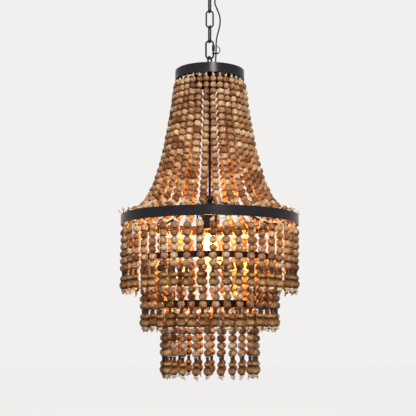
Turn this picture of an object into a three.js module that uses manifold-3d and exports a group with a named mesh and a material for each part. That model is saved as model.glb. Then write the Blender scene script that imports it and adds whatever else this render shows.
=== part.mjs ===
// Beaded chandelier: a chain-hung frame of four steel bands dressed with strands of turned wooden beads.
// Millimetres, +Z up. The origin is the middle of the ceiling bracket's top face, where the ceiling is.
import * as THREE from 'three';
import { mergeVertices } from 'three/addons/utils/BufferGeometryUtils.js';
import Module from 'manifold-3d';

const wasm = await Module();
wasm.setup();

// Clearances and counts that every piece shares.
const gap = 0.3;
const overrun = 2;
const roundSides = 12;
const wireSides = 5;
const boltSides = 6;
const boreSides = 8;
const cupSides = 18;
const strandSides = 3;
const tieSides = 4;
// A facetted piece of this many sides, made this much larger, looks as wide on average as the round one.
const facetFit = Math.PI / (strandSides * Math.sin(Math.PI / strandSides));
const degree = Math.PI / 180;
const weldTolerance = gap / 1000;

// Ceiling fitting: a bracket with a blind threaded boss, a cup, a hollow nipple and a screw-on loop.
const bracket = { length: 96, width: 24, thickness: 3, slotLength: 16, slotWidth: 5, slotPlace: 34,
  bossRadius: 9, bossHeight: 12 };
const nipple = { radius: 5, boreRadius: 3, engagement: 9 };
const cup = { radius: 55, height: 38, wall: 1.5, corner: 8, cordHolePlace: 18 };
const loop = { collarRadius: 9, collarHeight: 12, wireRadius: 2.25, innerRadius: 8 };

// Chain: three welded links and one screw-lock link, each turned a quarter from the one above.
const link = { length: 45, width: 20, wireRadius: 1.7, count: 3 };
const screwLink = { length: 49, width: 22, wireRadius: 2, nutRadius: 4, nutHeight: 14, nutPlace: 4 };
const linkSteps = 4;
const linkPlay = 0.6;

// Hanging eye, top plate and stem.
const eye = { wireRadius: 2.25, midRadius: 9, collarTopRadius: 5, collarBaseRadius: 7.5, turn: 62 };
const rod = { radius: 3.25, clearance: 0.3 };
const coupling = { acrossCorners: 15, height: 24 };
const plate = { thickness: 2, cordHolePlace: 14.3 };
const eyeToPlate = 39;

// Bands: outer radius, height, and the drop of each top edge below the top band's top edge.
const bandWall = 1.5;
const bandFacets = 36;
const topBand = { radius: 83, height: 23, drop: 0 };
const mainBand = { radius: 209, height: 23, drop: 351 };
const middleBand = { radius: 161.5, height: 14, drop: 446 };
const bottomBand = { radius: 115.5, height: 16, drop: 551 };

// Beads, turned finials and the rope that they hang on.
const rope = { radius: 1.75, knotRadius: 4 };
const bead = { radius: 9, pitch: 16.5, waistRadius: 4.6, count: 6 };
const finial = { neckRadius: 3.4, upperRadius: 8, upperDrop: 15.5, grooveRadius: 5.2, grooveDrop: 21.5,
  lowerRadius: 9.4, lowerDrop: 31, length: 41, tailLength: 11 };
const firstBeadDrop = 11;

// Tiers of hanging strands. Each group of strands is laced to one straight tie wire that rests on lugs.
const tie = { wireRadius: 2.2, height: 8, lugThickness: 3, lugWidth: 5 };
const mainTier = { band: mainBand, inset: 8, groups: 9, strands: 5, phase: 0, lugAt: 12 };
const middleTier = { band: middleBand, inset: 7.5, groups: 9, strands: 4, phase: 0, lugAt: 10 };
const bottomTier = { band: bottomBand, inset: 8.5, groups: 6, strands: 4, phase: -10, lugAt: 15 };

// Upper strands, slack from the top band to the main band.
const upper = { groups: 4, strands: 8, topInset: 3, stagger: 4, topRise: 3, hangDrop: 8, endInset: 10,
  endRise: 5, levelInset: 5.5, steps: 6, laceDrop: 5, halvings: 60, smallestShare: 0.1 };

// Spider: a hub on the stem with three arms to the main band, and the rods that carry the lower bands.
const hub = { radius: 15, height: 12, aboveBand: 36 };
const arm = { radius: 2.5, count: 3, phase: 20, bendRadius: 150 };
const hangerRod = { radius: 2, lift: 2 };
const nut = { acrossCorners: 15, height: 5 };

// Lampholder and lamp.
const holder = { radius: 18.5, capHeight: 26, bodyHeight: 36, topWall: 8, wall: 2.5 };
const core = { floor: 2, contactRadius: 4, contactThickness: 1 };
const lamp = { showLength: 96, capRadius: 13, capHeight: 25, capWall: 0.8, capOverlap: 8, glassRadius: 32,
  glassLength: 118, glassWall: 1, neckRadius: 14.5, contactRadius: 4 };
// The glass's outline below its neck, in shares of its length and of its widest radius.
const glassShares = [[0.38, 0.74], [0.54, 0.95], [0.68, 1], [0.85, 0.84], [0.96, 0.46]];
const filament = { radius: 10, wireRadius: 0.5, topDrop: 32, height: 50, folds: 6, postRadius: 1,
  discThickness: 1.6 };

// Mains cord: its free stretch beside the chain, and the lead inside the frame.
const cord = { radius: 1.8, sides: 8 };
const grip = { radius: 4.6, flangeRadius: 6, height: 12, flangeHeight: 2, neckRadius: 4 };
const lead = { offset: 9.8, bendDrop: 50 };
const cordTie = { drop: 31.5, wireRadius: 0.7, headSize: 3.6 };
// The tie's tail bends back in a loop, in shares of its head's size.
const tieTailShares = [[0, 0], [1.6, 2.1], [0.8, 4.2], [-0.1, 5.7]];
// The lead's turn from the grip to behind the stem, as shares of the drop and of a quarter turn.
const leadTurnShares = [[0, 0], [0.1, 0.12], [0.3, 0.34], [0.55, 0.6], [0.8, 0.82], [1, 1]];
// The free cord's route beside the chain, as distances from the axis and heights.
const cordRoute = [[18, 0, -59], [16.6, 0.6, -66], [13.6, 1.2, -74], [12.6, 1.4, -83.6], [15.4, 1.2, -92.4],
  [19.4, 0.6, -102.6], [23, -0.2, -112.6], [25, -1, -122.7], [25.2, -1.6, -132.8], [24, -1.8, -142.8],
  [21.8, -1.4, -152.9], [19.2, -0.8, -162.9], [16.8, -0.2, -172.9], [15.8, 0, -182.9], [15.5, 0, -192.9],
  [15.3, 0, -208], [14.5, 0, -222.8], [14.3, 0, -234]];

// Places worked out from the sizes above, from the ceiling down.
const cupBottom = -cup.height;
const collarTop = cupBottom - gap;
const loopMidRadius = loop.innerRadius + loop.wireRadius;
const loopCentre = collarTop - loop.collarHeight - loopMidRadius;
const bandInner = (band) => band.radius - bandWall;
const flatShare = Math.cos(Math.PI / bandFacets);
const step = 2 * Math.PI / roundSides;

// Wire centre heights of the chain, each link hanging on the one above.
const hangUnder = (wireCentre, wireRadius, nextRadius) => wireCentre + wireRadius + linkPlay + nextRadius;
const linkTops = [];
let carrier = { centre: loopCentre - loopMidRadius, radius: loop.wireRadius };
for (let i = 0; i < link.count; i += 1) {
  const top = hangUnder(carrier.centre, carrier.radius, link.wireRadius);
  linkTops.push(top);
  carrier = { centre: top - link.length + 2 * link.wireRadius, radius: link.wireRadius };
}
const screwLinkTop = hangUnder(carrier.centre, carrier.radius, screwLink.wireRadius);
const screwLinkBottom = screwLinkTop - screwLink.length + 2 * screwLink.wireRadius;
const eyeTop = hangUnder(screwLinkBottom, screwLink.wireRadius, eye.wireRadius);
const eyeCentre = eyeTop - eye.midRadius;
const plateTop = eyeTop + eye.wireRadius - eyeToPlate;
const bandTop = (band) => plateTop - band.drop;
const bandBottom = (band) => bandTop(band) - band.height;
const tieHeight = (tier) => bandBottom(tier.band) + tie.height;
const lugTop = (tier) => tieHeight(tier) - tie.wireRadius - gap;

// Materials.
const finish = (color, roughness, metalness, extra = {}) =>
  new THREE.MeshStandardMaterial({ color, roughness, metalness, ...extra });
const blackSteel = finish(0x2c2b2c, 0.42, 0.7);
const blackZinc = finish(0x232324, 0.5, 0.8);
const wood = finish(0xc79a6b, 0.6, 0);
const blackPlastic = finish(0x161616, 0.45, 0);
const porcelain = finish(0xe9e4d8, 0.3, 0);
const brass = finish(0xb78b4a, 0.3, 1);
const clearGlass = finish(0xfff1d8, 0.05, 0, { transparent: true, opacity: 0.35 });
const glowWire = finish(0xffb45a, 0.5, 0, { emissive: 0xff9a3c });

// Turns a three.js geometry into a solid, with its shared vertices merged and empty triangles dropped.
function solid(geometry) {
  const plain = new THREE.BufferGeometry();
  plain.setAttribute('position', geometry.getAttribute('position').clone());
  if (geometry.index) plain.setIndex(geometry.index.clone());
  const merged = mergeVertices(plain, weldTolerance);
  const corners = merged.index.array;
  const kept = [];
  for (let i = 0; i < corners.length; i += 3) {
    const [a, b, c] = [corners[i], corners[i + 1], corners[i + 2]];
    if (a !== b && b !== c && c !== a) kept.push(a, b, c);
  }
  const vertProperties = new Float32Array(merged.getAttribute('position').array);
  return new wasm.Manifold(new wasm.Mesh({ numProp: 3, vertProperties, triVerts: new Uint32Array(kept) }));
}

function shape(body) {
  const mesh = body.getMesh();
  const geometry = new THREE.BufferGeometry();
  geometry.setAttribute('position', new THREE.BufferAttribute(new Float32Array(mesh.vertProperties), 3));
  geometry.setIndex(new THREE.BufferAttribute(new Uint32Array(mesh.triVerts), 1));
  geometry.computeVertexNormals();
  return geometry;
}

const join = (first, ...others) => shape(others.reduce((sum, g) => sum.add(solid(g)), solid(first)));
const cut = (first, ...tools) => shape(tools.reduce((left, g) => left.subtract(solid(g)), solid(first)));

// A turned piece about Z. The outline runs from its lowest point to its highest on the outside.
function turned(outline, sides = roundSides, start = 0) {
  const points = outline.map(([radius, z]) => new THREE.Vector2(radius, z));
  return new THREE.LatheGeometry(points, sides, start).rotateX(Math.PI / 2);
}

// A hollow turned piece, its outline closed on itself.
const turnedShell = (outline, sides = roundSides) => turned([...outline, outline[0]], sides);

// An upright cylinder from one height to another, about a point.
function upright(radius, low, high, sides = roundSides, x = 0, y = 0) {
  return new THREE.CylinderGeometry(radius, radius, high - low, sides)
    .rotateX(Math.PI / 2).translate(x, y, (low + high) / 2);
}

// A wire swept along a path. sideways is the plane's normal on a flat path, or one direction a point; radii likewise.
function wire(path, radii, sides, sideways, closed = false) {
  const count = path.length;
  const rings = path.map((point, i) => {
    const before = path[closed ? (i + count - 1) % count : Math.max(i - 1, 0)];
    const after = path[closed ? (i + 1) % count : Math.min(i + 1, count - 1)];
    const inwards = point.clone().sub(before).normalize();
    const outwards = after.clone().sub(point).normalize();
    const along = inwards.clone().add(outwards).normalize();
    const side = Array.isArray(sideways) ? sideways[i] : sideways;
    const across = new THREE.Vector3().crossVectors(along, side).normalize();
    const straight = closed || (i > 0 && i < count - 1) ? along.dot(outwards) : 1;
    const radius = Array.isArray(radii) ? radii[i] : radii;
    return Array.from({ length: sides }, (unused, k) => {
      const angle = 2 * Math.PI * k / sides;
      return point.clone()
        .addScaledVector(side, radius * Math.cos(angle))
        .addScaledVector(across, radius * Math.sin(angle) / straight);
    });
  });
  const corner = (i, k) => (i % count) * sides + k % sides;
  const faces = [];
  for (let i = 0; i < (closed ? count : count - 1); i += 1) {
    for (let k = 0; k < sides; k += 1) {
      faces.push(corner(i, k), corner(i, k + 1), corner(i + 1, k));
      faces.push(corner(i, k + 1), corner(i + 1, k + 1), corner(i + 1, k));
    }
  }
  for (let k = 1; !closed && k < sides - 1; k += 1) {
    faces.push(corner(0, 0), corner(0, k + 1), corner(0, k));
    faces.push(corner(count - 1, 0), corner(count - 1, k), corner(count - 1, k + 1));
  }
  const geometry = new THREE.BufferGeometry();
  geometry.setAttribute('position', new THREE.Float32BufferAttribute(rings.flat().flatMap((p) => p.toArray()), 3));
  geometry.setIndex(faces);
  geometry.computeVertexNormals();
  return geometry;
}

// An oval of wire in the XZ plane, for a chain link with its top wire's centre at a height.
function linkWire({ length, width, wireRadius }, top, sides = wireSides) {
  const bend = width / 2 - wireRadius;
  const bottom = top - length + 2 * wireRadius;
  const arc = (centre, from) => Array.from({ length: linkSteps + 1 }, (unused, i) => {
    const angle = from + Math.PI * i / linkSteps;
    return new THREE.Vector3(bend * Math.cos(angle), 0, centre + bend * Math.sin(angle));
  });
  const path = [...arc(top - bend, 0), ...arc(bottom + bend, Math.PI)];
  return wire(path, wireRadius, sides, new THREE.Vector3(0, 1, 0), true);
}

// A ring of wire in the XZ plane.
function ringWire(midRadius, wireRadius, centre) {
  const path = Array.from({ length: roundSides }, (unused, i) =>
    new THREE.Vector3(midRadius * Math.cos(step * i), 0, centre + midRadius * Math.sin(step * i)));
  return wire(path, wireRadius, wireSides, new THREE.Vector3(0, 1, 0), true);
}

const chandelier = new THREE.Group();
function add(name, geometry, material, turn = 0) {
  const mesh = new THREE.Mesh(geometry, material);
  mesh.name = name;
  mesh.rotation.z = turn * degree;
  chandelier.add(mesh);
}

// The ceiling bracket, a flat bar with two screw slots and a boss for the nipple.
function ceilingBracket() {
  const bar = new THREE.Shape();
  const [halfLength, halfWidth] = [bracket.length / 2, bracket.width / 2];
  bar.moveTo(-halfLength, -halfWidth).lineTo(halfLength, -halfWidth);
  bar.lineTo(halfLength, halfWidth).lineTo(-halfLength, halfWidth);
  const [halfSlot, slotRadius] = [bracket.slotLength / 2, bracket.slotWidth / 2];
  for (const side of [-1, 1]) {
    const slot = new THREE.Path();
    const straight = halfSlot - slotRadius;
    slot.absarc(side * bracket.slotPlace + straight, 0, slotRadius, -Math.PI / 2, Math.PI / 2);
    slot.absarc(side * bracket.slotPlace - straight, 0, slotRadius, Math.PI / 2, 3 * Math.PI / 2);
    bar.holes.push(slot);
  }
  const sheet = { depth: bracket.thickness, bevelEnabled: false, curveSegments: wireSides };
  const flat = new THREE.ExtrudeGeometry(bar, sheet).translate(0, 0, -bracket.thickness);
  const boss = upright(bracket.bossRadius, -bracket.thickness - bracket.bossHeight, -bracket.thickness / 2);
  const boreLow = -bracket.thickness - bracket.bossHeight - overrun;
  const bore = upright(nipple.radius + gap, boreLow, -bracket.thickness - gap);
  return cut(join(flat, boss), bore);
}

function ceilingCup() {
  const inner = cup.radius - cup.wall;
  const body = turnedShell([
    [nipple.radius + gap, cupBottom],
    [cup.radius - cup.corner, cupBottom],
    [cup.radius, cupBottom + cup.corner],
    [cup.radius, 0],
    [inner, 0],
    [inner, cupBottom + cup.corner + cup.wall / 2],
    [inner - cup.corner + cup.wall / 2, cupBottom + cup.wall],
    [nipple.radius + gap, cupBottom + cup.wall],
  ], cupSides);
  const cordHole = upright(grip.neckRadius + gap, cupBottom - overrun, cupBottom + cup.wall + overrun, boreSides,
    cup.cordHolePlace);
  return cut(body, cordHole);
}

function hollowNipple() {
  const top = -bracket.thickness - bracket.bossHeight + nipple.engagement;
  const bottom = collarTop - loop.collarHeight / 2;
  return turnedShell([[nipple.boreRadius, bottom], [nipple.radius, bottom], [nipple.radius, top],
    [nipple.boreRadius, top]]);
}

function ceilingLoop() {
  const floor = collarTop - loop.collarHeight;
  const bored = collarTop - loop.collarHeight / 2 - gap;
  const collar = turned([[0, floor], [loop.collarRadius - loop.wireRadius, floor],
    [loop.collarRadius, floor + loop.wireRadius], [loop.collarRadius, collarTop], [nipple.radius + gap, collarTop],
    [nipple.radius + gap, bored], [0, bored]]);
  return join(collar, ringWire(loopMidRadius, loop.wireRadius, loopCentre));
}

// A gland in a thin wall: a threaded neck, a flange on one face and a tapered strain relief, bored for the cord.
function cordGrip(x, wallFace, wallThickness, down) {
  const bore = cord.radius + gap;
  const sign = down ? -1 : 1;
  const heights = [wallFace - sign * (wallThickness + gap + grip.flangeHeight), wallFace + sign * gap,
    wallFace + sign * (gap + grip.flangeHeight), wallFace + sign * grip.height];
  const outline = [
    [bore, heights[0]], [grip.neckRadius, heights[0]], [grip.neckRadius, heights[1]], [grip.flangeRadius, heights[1]],
    [grip.flangeRadius, heights[2]], [grip.radius, heights[2]], [bore + gap * 2, heights[3]], [bore, heights[3]],
  ];
  return turnedShell(down ? outline.reverse() : outline, boreSides).translate(x, 0, 0);
}

// The screw-lock link's nut, a sleeve on the link's right leg.
function screwLinkNut() {
  const middle = screwLinkTop - screwLink.length / 2 + screwLink.wireRadius + screwLink.nutPlace;
  return hexNut(2 * screwLink.nutRadius, middle - screwLink.nutHeight / 2, middle + screwLink.nutHeight / 2,
    screwLink.wireRadius + gap).translate(screwLink.width / 2 - screwLink.wireRadius, 0, 0);
}

// The hanging eye: a ring on a flared collar, with a shank down through the top plate.
function hangingEye() {
  const base = plateTop + gap;
  const ringLow = eyeCentre - eye.midRadius;
  const shankEnd = plateTop - plate.thickness - gap - coupling.height / 2 + gap;
  const body = turned([[0, shankEnd], [rod.radius, shankEnd], [rod.radius, base], [eye.collarBaseRadius, base],
    [eye.collarBaseRadius, base + eye.wireRadius], [eye.collarTopRadius, ringLow], [0, ringLow]]);
  return join(body, ringWire(eye.midRadius, eye.wireRadius, eyeCentre));
}

function topPlate() {
  const radius = bandInner(topBand) * flatShare - gap;
  const bore = rod.radius + rod.clearance;
  const under = plateTop - plate.thickness;
  const disc = turnedShell([[bore, under], [radius, under], [radius, plateTop], [bore, plateTop]], bandFacets);
  const holeTop = plateTop + overrun;
  const cordHole = upright(grip.neckRadius + gap, under - overrun, holeTop, boreSides, plate.cordHolePlace);
  return cut(disc, cordHole);
}

// A hexagonal nut. Its bore has six facets too, so its corners lie a little outside the clearance that it keeps.
function hexNut(acrossCorners, low, high, clearRadius) {
  const bore = clearRadius / Math.cos(Math.PI / boltSides);
  return turnedShell([[bore, low], [acrossCorners / 2, low], [acrossCorners / 2, high], [bore, high]], boltSides);
}

// A steel band with the lugs inside it that its tie wires rest on.
function band(size, tier = null) {
  const [top, bottom, inner] = [bandTop(size), bandBottom(size), bandInner(size)];
  const hoop = turnedShell([[inner, bottom], [size.radius, bottom], [size.radius, top], [inner, top]], bandFacets);
  if (!tier) return hoop;
  const reach = tieRadius(tier) / Math.cos(tier.lugAt * degree) - tie.wireRadius;
  const length = inner + bandWall / 2 - reach;
  const lugs = [];
  for (let group = 0; group < tier.groups; group += 1) {
    for (const side of [-1, 1]) {
      const lug = new THREE.BoxGeometry(length, tie.lugWidth, tie.lugThickness);
      lug.translate(reach + length / 2, 0, lugTop(tier) - tie.lugThickness / 2);
      lugs.push(lug.rotateZ((tier.phase + group * 360 / tier.groups + side * tier.lugAt) * degree));
    }
  }
  return join(hoop, ...lugs);
}

// The angles of a group's strands from the group's middle.
function offsets(tier) {
  const pitch = 360 / (tier.groups * tier.strands);
  return Array.from({ length: tier.strands }, (unused, i) => (i - (tier.strands - 1) / 2) * pitch * degree);
}

const strandRadius = (tier) => tier.band.radius - tier.inset;

// A tie wire runs straight, at the mean distance of its strands, so that a group hangs plumb from it.
function tieRadius(tier) {
  const shares = offsets(tier).map((angle) => Math.cos(angle));
  return strandRadius(tier) * shares.reduce((sum, share) => sum + share, 0) / tier.strands;
}

// One hanging strand: a knot, six beads, a turned finial and the rope's tail.
function strand(knot) {
  const firstBead = knot - tie.height - firstBeadDrop;
  const lastBead = firstBead - bead.count * bead.pitch;
  const outline = [
    [0, lastBead - finial.length - finial.tailLength],
    [finial.lowerRadius, lastBead - finial.lowerDrop],
    [finial.grooveRadius, lastBead - finial.grooveDrop],
    [finial.upperRadius, lastBead - finial.upperDrop],
  ];
  for (let i = 0; i < bead.count; i += 1) {
    const low = lastBead + i * bead.pitch;
    outline.push([i ? bead.waistRadius : finial.neckRadius, low], [bead.radius, low + bead.pitch / 2]);
  }
  outline.push([rope.radius, firstBead], [rope.knotRadius, knot], [0, knot + rope.knotRadius]);
  const fitted = outline.map(([radius, z]) => [radius * facetFit, z]);
  return turned(fitted, strandSides, Math.PI / 2);
}

function strandGroup(tier) {
  const height = tieHeight(tier);
  const radius = strandRadius(tier);
  const half = radius * Math.sin(offsets(tier).at(-1));
  const tieWire = new THREE.CylinderGeometry(tie.wireRadius, tie.wireRadius, 2 * half, tieSides)
    .translate(tieRadius(tier), 0, height);
  const strands = offsets(tier).map((angle) =>
    strand(height).translate(radius * Math.cos(angle), radius * Math.sin(angle), 0));
  return join(tieWire, ...strands);
}

// The slack upper strand hangs as a chain does. This finds the curve's size from its two ends.
function slackCurve(high, low) {
  const level = low[0] - upper.levelInset;
  const drop = (size) => size * (Math.cosh((level - high[0]) / size) - Math.cosh((level - low[0]) / size));
  let [small, large] = [(level - high[0]) * upper.smallestShare, level];
  for (let i = 0; i < upper.halvings; i += 1) {
    const size = (small + large) / 2;
    if (drop(size) > high[1] - low[1]) small = size;
    else large = size;
  }
  const base = low[1] - small * Math.cosh((level - low[0]) / small);
  const first = (level - high[0]) / small;
  const last = (level - low[0]) / small;
  return Array.from({ length: upper.steps + 1 }, (unused, i) => {
    const turn = first + (last - first) * i / upper.steps;
    return [level - small * turn, base + small * Math.cosh(turn)];
  });
}

// One group of upper strands. Each is a belt of beads from the top band to the main band, and every second one hangs
// further out, because the beads are wider than their share of the top band. A lace inside the top band joins them.
function upperGroup() {
  const pitch = 2 * Math.PI / (upper.groups * upper.strands);
  const angles = Array.from({ length: upper.strands }, (unused, i) => (i - (upper.strands - 1) / 2) * pitch);
  const beltRadius = facetFit * (bead.radius + bead.waistRadius) / 2;
  const topLace = bandInner(topBand) * flatShare - gap - rope.radius;
  const endLace = bandInner(mainBand) * flatShare - gap - rope.radius;
  const topZ = bandBottom(topBand) + upper.topRise;
  const endZ = bandTop(mainBand) - upper.laceDrop;
  const around = (angle, radius, z) => new THREE.Vector3(radius * Math.cos(angle), radius * Math.sin(angle), z);
  const lacePath = angles.map((angle) => around(angle, topLace, topZ));
  const lace = wire(lacePath, rope.radius, tieSides, new THREE.Vector3(0, 0, 1));
  const belts = angles.map((angle, i) => {
    const out = i % 2 ? upper.stagger : -upper.stagger;
    const curve = slackCurve([topBand.radius - upper.topInset + out, bandBottom(topBand) - upper.hangDrop],
      [mainBand.radius - upper.endInset, bandTop(mainBand) + upper.endRise]);
    const path = [[topLace, topZ], [topLace, bandBottom(topBand) - rope.radius], ...curve, [endLace, endZ]]
      .map(([radius, z]) => around(angle, radius, z));
    const radii = path.map((point, k) => (k < 2 || k > path.length - 3 ? rope.radius : beltRadius));
    return wire(path, radii, strandSides, around(angle + Math.PI / 2, 1, 0));
  });
  return join(lace, ...belts);
}

// The spider: a hub on the stem with arms out to the main band's inner face.
const hubBottom = bandTop(mainBand) + hub.aboveBand;
const armHeight = bandTop(mainBand) - mainBand.height / 2;
function spider() {
  const bore = rod.radius + rod.clearance;
  const [low, high] = [hubBottom, hubBottom + hub.height];
  const centre = turnedShell([[bore, low], [hub.radius, low], [hub.radius, high], [bore, high]]);
  const leadHole = upright(cord.radius + gap, low - overrun, high + overrun, boreSides, 0, lead.offset);
  const arms = Array.from({ length: arm.count }, (unused, i) => {
    const path = [[hub.radius - arm.radius, low + hub.height / 2], [arm.bendRadius, armHeight],
      [bandInner(mainBand) - 2 * gap, armHeight]].map(([radius, z]) => new THREE.Vector3(radius, 0, z));
    return wire(path, arm.radius, wireSides, new THREE.Vector3(0, 1, 0))
      .rotateZ((arm.phase + i * 360 / arm.count) * degree);
  });
  const rods = arms.flatMap((unused, i) => [hanger(middleBand), hanger(bottomBand)].map((upstand) =>
    upstand.rotateZ((arm.phase + i * 360 / arm.count) * degree)));
  return cut(join(centre, ...arms, ...rods), leadHole);
}

// A hanger rod runs from an arm down inside one of the lower bands.
function hanger(size) {
  const place = bandInner(size) * flatShare - gap - hangerRod.radius;
  const inner = hub.radius - arm.radius;
  const fall = (hubBottom + hub.height / 2 - armHeight) / (arm.bendRadius - inner);
  const armCentre = armHeight + Math.max(0, arm.bendRadius - place) * fall;
  return upright(hangerRod.radius, bandBottom(size) + hangerRod.lift, armCentre, wireSides, place, 0);
}

// The stem runs from the coupling nut to the lampholder's cap.
const couplingTop = plateTop - plate.thickness - gap;
const holderTop = hubBottom - gap - nut.height - gap;
const holderBottom = holderTop - holder.capHeight - gap - holder.bodyHeight;
const stemTop = couplingTop - coupling.height / 2 - gap;
const stemBottom = holderTop - holder.topWall + gap;

function holderCap() {
  const [bore, inner] = [rod.radius + rod.clearance, holder.radius - holder.wall];
  const [low, roof] = [holderTop - holder.capHeight, holderTop - holder.topWall];
  const body = turnedShell([[inner, low], [holder.radius, low], [holder.radius, roof],
    [holder.radius - holder.wall, holderTop], [bore, holderTop], [bore, roof], [inner - holder.wall, roof],
    [inner, roof - holder.wall]]);
  return cut(body, upright(cord.radius + gap, roof - overrun, holderTop + overrun, boreSides, 0, lead.offset));
}

function holderBody() {
  const inner = holder.radius - holder.wall;
  const top = holderBottom + holder.bodyHeight;
  return turnedShell([[inner, holderBottom], [holder.radius, holderBottom], [holder.radius, top], [inner, top]]);
}

// The lamp, from the tip of its glass up to its contact.
const lampTip = holderBottom - lamp.showLength;
const glassTop = lampTip + lamp.glassLength;
const capBottom = glassTop - lamp.capOverlap;
const capTop = capBottom + lamp.capHeight + lamp.capOverlap;

// The porcelain core: a cup for the lamp's screw cap, with a brass contact in its floor.
function holderCore() {
  const radius = holder.radius - holder.wall - gap;
  const bore = lamp.capRadius + 2 * gap;
  const roof = capTop + 2 * gap + core.contactThickness;
  return turned([[0, roof], [bore, roof], [bore, capBottom], [radius, capBottom], [radius, roof + core.floor],
    [0, roof + core.floor]]);
}

function holderContact() {
  const low = capTop + gap;
  return upright(core.contactRadius, low, low + core.contactThickness, boreSides);
}

function lampCap() {
  const [outer, inner] = [lamp.capRadius, lamp.capRadius - lamp.capWall];
  return turned([[0, glassTop + gap], [inner, glassTop + gap], [inner, capBottom], [outer, capBottom],
    [outer, capTop - lamp.contactRadius], [lamp.contactRadius, capTop], [0, capTop]]);
}

// The glass is a thin shell, open at the top of its neck.
function lampGlass() {
  const throat = lamp.capRadius - lamp.capWall - gap;
  const shoulder = lamp.capOverlap + gap;
  const profile = [[throat, 0], [throat, shoulder], [lamp.neckRadius, shoulder + lamp.glassWall],
    [lamp.neckRadius, glassTop - holderBottom + lamp.glassWall],
    ...glassShares.map(([down, out]) => [lamp.glassRadius * out, lamp.glassLength * down])];
  const outside = profile.map(([radius, down]) => [radius, glassTop - down]).reverse();
  const inside = profile.map(([radius, down]) => [radius - lamp.glassWall, glassTop - down]);
  return turned([[0, lampTip], ...outside, ...inside, [0, lampTip + lamp.glassWall]]);
}

// The glass stem closes the neck, and its post carries a disc at each end of the filament's cage.
const filamentTop = glassTop - filament.topDrop;
const filamentBottom = filamentTop - filament.height;
function lampStem() {
  const flare = lamp.capRadius - lamp.capWall - lamp.glassWall - 3 * gap;
  const disc = filament.radius - filament.wireRadius - gap;
  const [post, half] = [filament.postRadius, filament.discThickness / 2];
  return turned([[0, filamentBottom - half], [disc, filamentBottom - half], [disc, filamentBottom + half],
    [post, filamentBottom + half], [post, filamentTop - half], [disc, filamentTop - half], [disc, filamentTop + half],
    [2 * post, filamentTop + half], [2 * post, glassTop - lamp.capOverlap], [flare, glassTop - lamp.glassWall],
    [flare, glassTop], [0, glassTop]], boreSides);
}

// The filament runs up and down between the two discs, once round the cage.
function lampFilament() {
  const count = 2 * filament.folds;
  const out = Array.from({ length: count }, (unused, i) =>
    new THREE.Vector3(Math.cos(2 * Math.PI * i / count), Math.sin(2 * Math.PI * i / count), 0));
  const path = out.map((direction, i) => direction.clone().multiplyScalar(filament.radius)
    .setZ(i % 2 ? filamentTop : filamentBottom));
  return wire(path, filament.wireRadius, strandSides, out, true);
}

// A cord's tube along its route, in steps of about two and a half diameters.
function cordTube(points) {
  const places = points.map(([x, y, z]) => new THREE.Vector3(x, y, z));
  const route = new THREE.CatmullRomCurve3(places, false, 'centripetal');
  const steps = Math.round(route.getLength() / (5 * cord.radius));
  const section = new THREE.Shape().absarc(0, 0, cord.radius, 0, 2 * Math.PI);
  return new THREE.ExtrudeGeometry(section, { steps, extrudePath: route, curveSegments: cord.sides / 2 });
}

function mainsCord() {
  const [x, low] = [cup.cordHolePlace, cupBottom - grip.height - 2 * gap];
  const [plateX, high] = [plate.cordHolePlace, plateTop + grip.height + 2 * gap];
  return cordTube([[x, 0, low], [x, 0, low - 2 * cord.radius], ...cordRoute, [plateX, 0, high + 2 * cord.radius],
    [plateX, 0, high]]);
}

// The inner lead bends round behind the stem and follows it into the lampholder.
function innerLead() {
  const place = plate.cordHolePlace;
  const top = plateTop - plate.thickness - grip.flangeHeight - 2 * gap;
  const end = capTop + 3 * gap + core.contactThickness + core.floor;
  const straight = top - lead.bendDrop;
  const bend = leadTurnShares.map(([down, round]) => {
    const angle = round * Math.PI / 2;
    const out = place + (lead.offset - place) * round;
    return [out * Math.cos(angle), out * Math.sin(angle), top - down * lead.bendDrop];
  });
  return cordTube([...bend, [0, lead.offset, straight - lead.bendDrop], [0, lead.offset, (straight + end) / 2],
    [0, lead.offset, end]]);
}

// A cable tie holds the cord to the screw-lock link, with its tail bent back in a loop.
function cableTie() {
  const height = screwLinkTop - cordTie.drop;
  const linkX = screwLink.width / 2 - screwLink.wireRadius;
  const cordX = cordRoute.at(-3)[0];
  const reach = screwLink.wireRadius + gap + cordTie.wireRadius;
  const arc = (x, from) => Array.from({ length: linkSteps + 1 }, (unused, i) => {
    const angle = from + Math.PI * i / linkSteps;
    return new THREE.Vector3(x + reach * Math.cos(angle), reach * Math.sin(angle), height);
  });
  const band = wire([...arc(cordX, -Math.PI / 2), ...arc(linkX, Math.PI / 2)], cordTie.wireRadius, tieSides,
    new THREE.Vector3(0, 0, 1), true);
  const headX = cordX + reach + cordTie.headSize / 2;
  const size = cordTie.headSize;
  const head = new THREE.BoxGeometry(size, size, size).translate(headX, 0, height);
  const tailPath = tieTailShares.map(([right, up]) => new THREE.Vector3(headX + right * size, 0, height + up * size));
  const tail = wire(tailPath, cordTie.wireRadius, tieSides, new THREE.Vector3(0, 1, 0));
  return join(band, head, tail);
}

// Ceiling fitting.
add('ceiling_bracket', ceilingBracket(), blackZinc);
add('ceiling_cup', ceilingCup(), blackSteel);
add('ceiling_nipple', hollowNipple(), blackZinc);
add('ceiling_loop', ceilingLoop(), blackZinc);
add('cup_cord_grip', cordGrip(cup.cordHolePlace, cupBottom, cup.wall, true), blackPlastic);

// Chain.
linkTops.forEach((top, i) => add(`chain_link_${i + 1}`, linkWire(link, top), blackZinc, i % 2 ? 0 : 90));
add('screw_link', linkWire(screwLink, screwLinkTop), blackZinc);
add('screw_link_nut', screwLinkNut(), blackZinc);
add('cord_tie', cableTie(), blackPlastic);
add('mains_cord', mainsCord(), blackPlastic);

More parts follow.
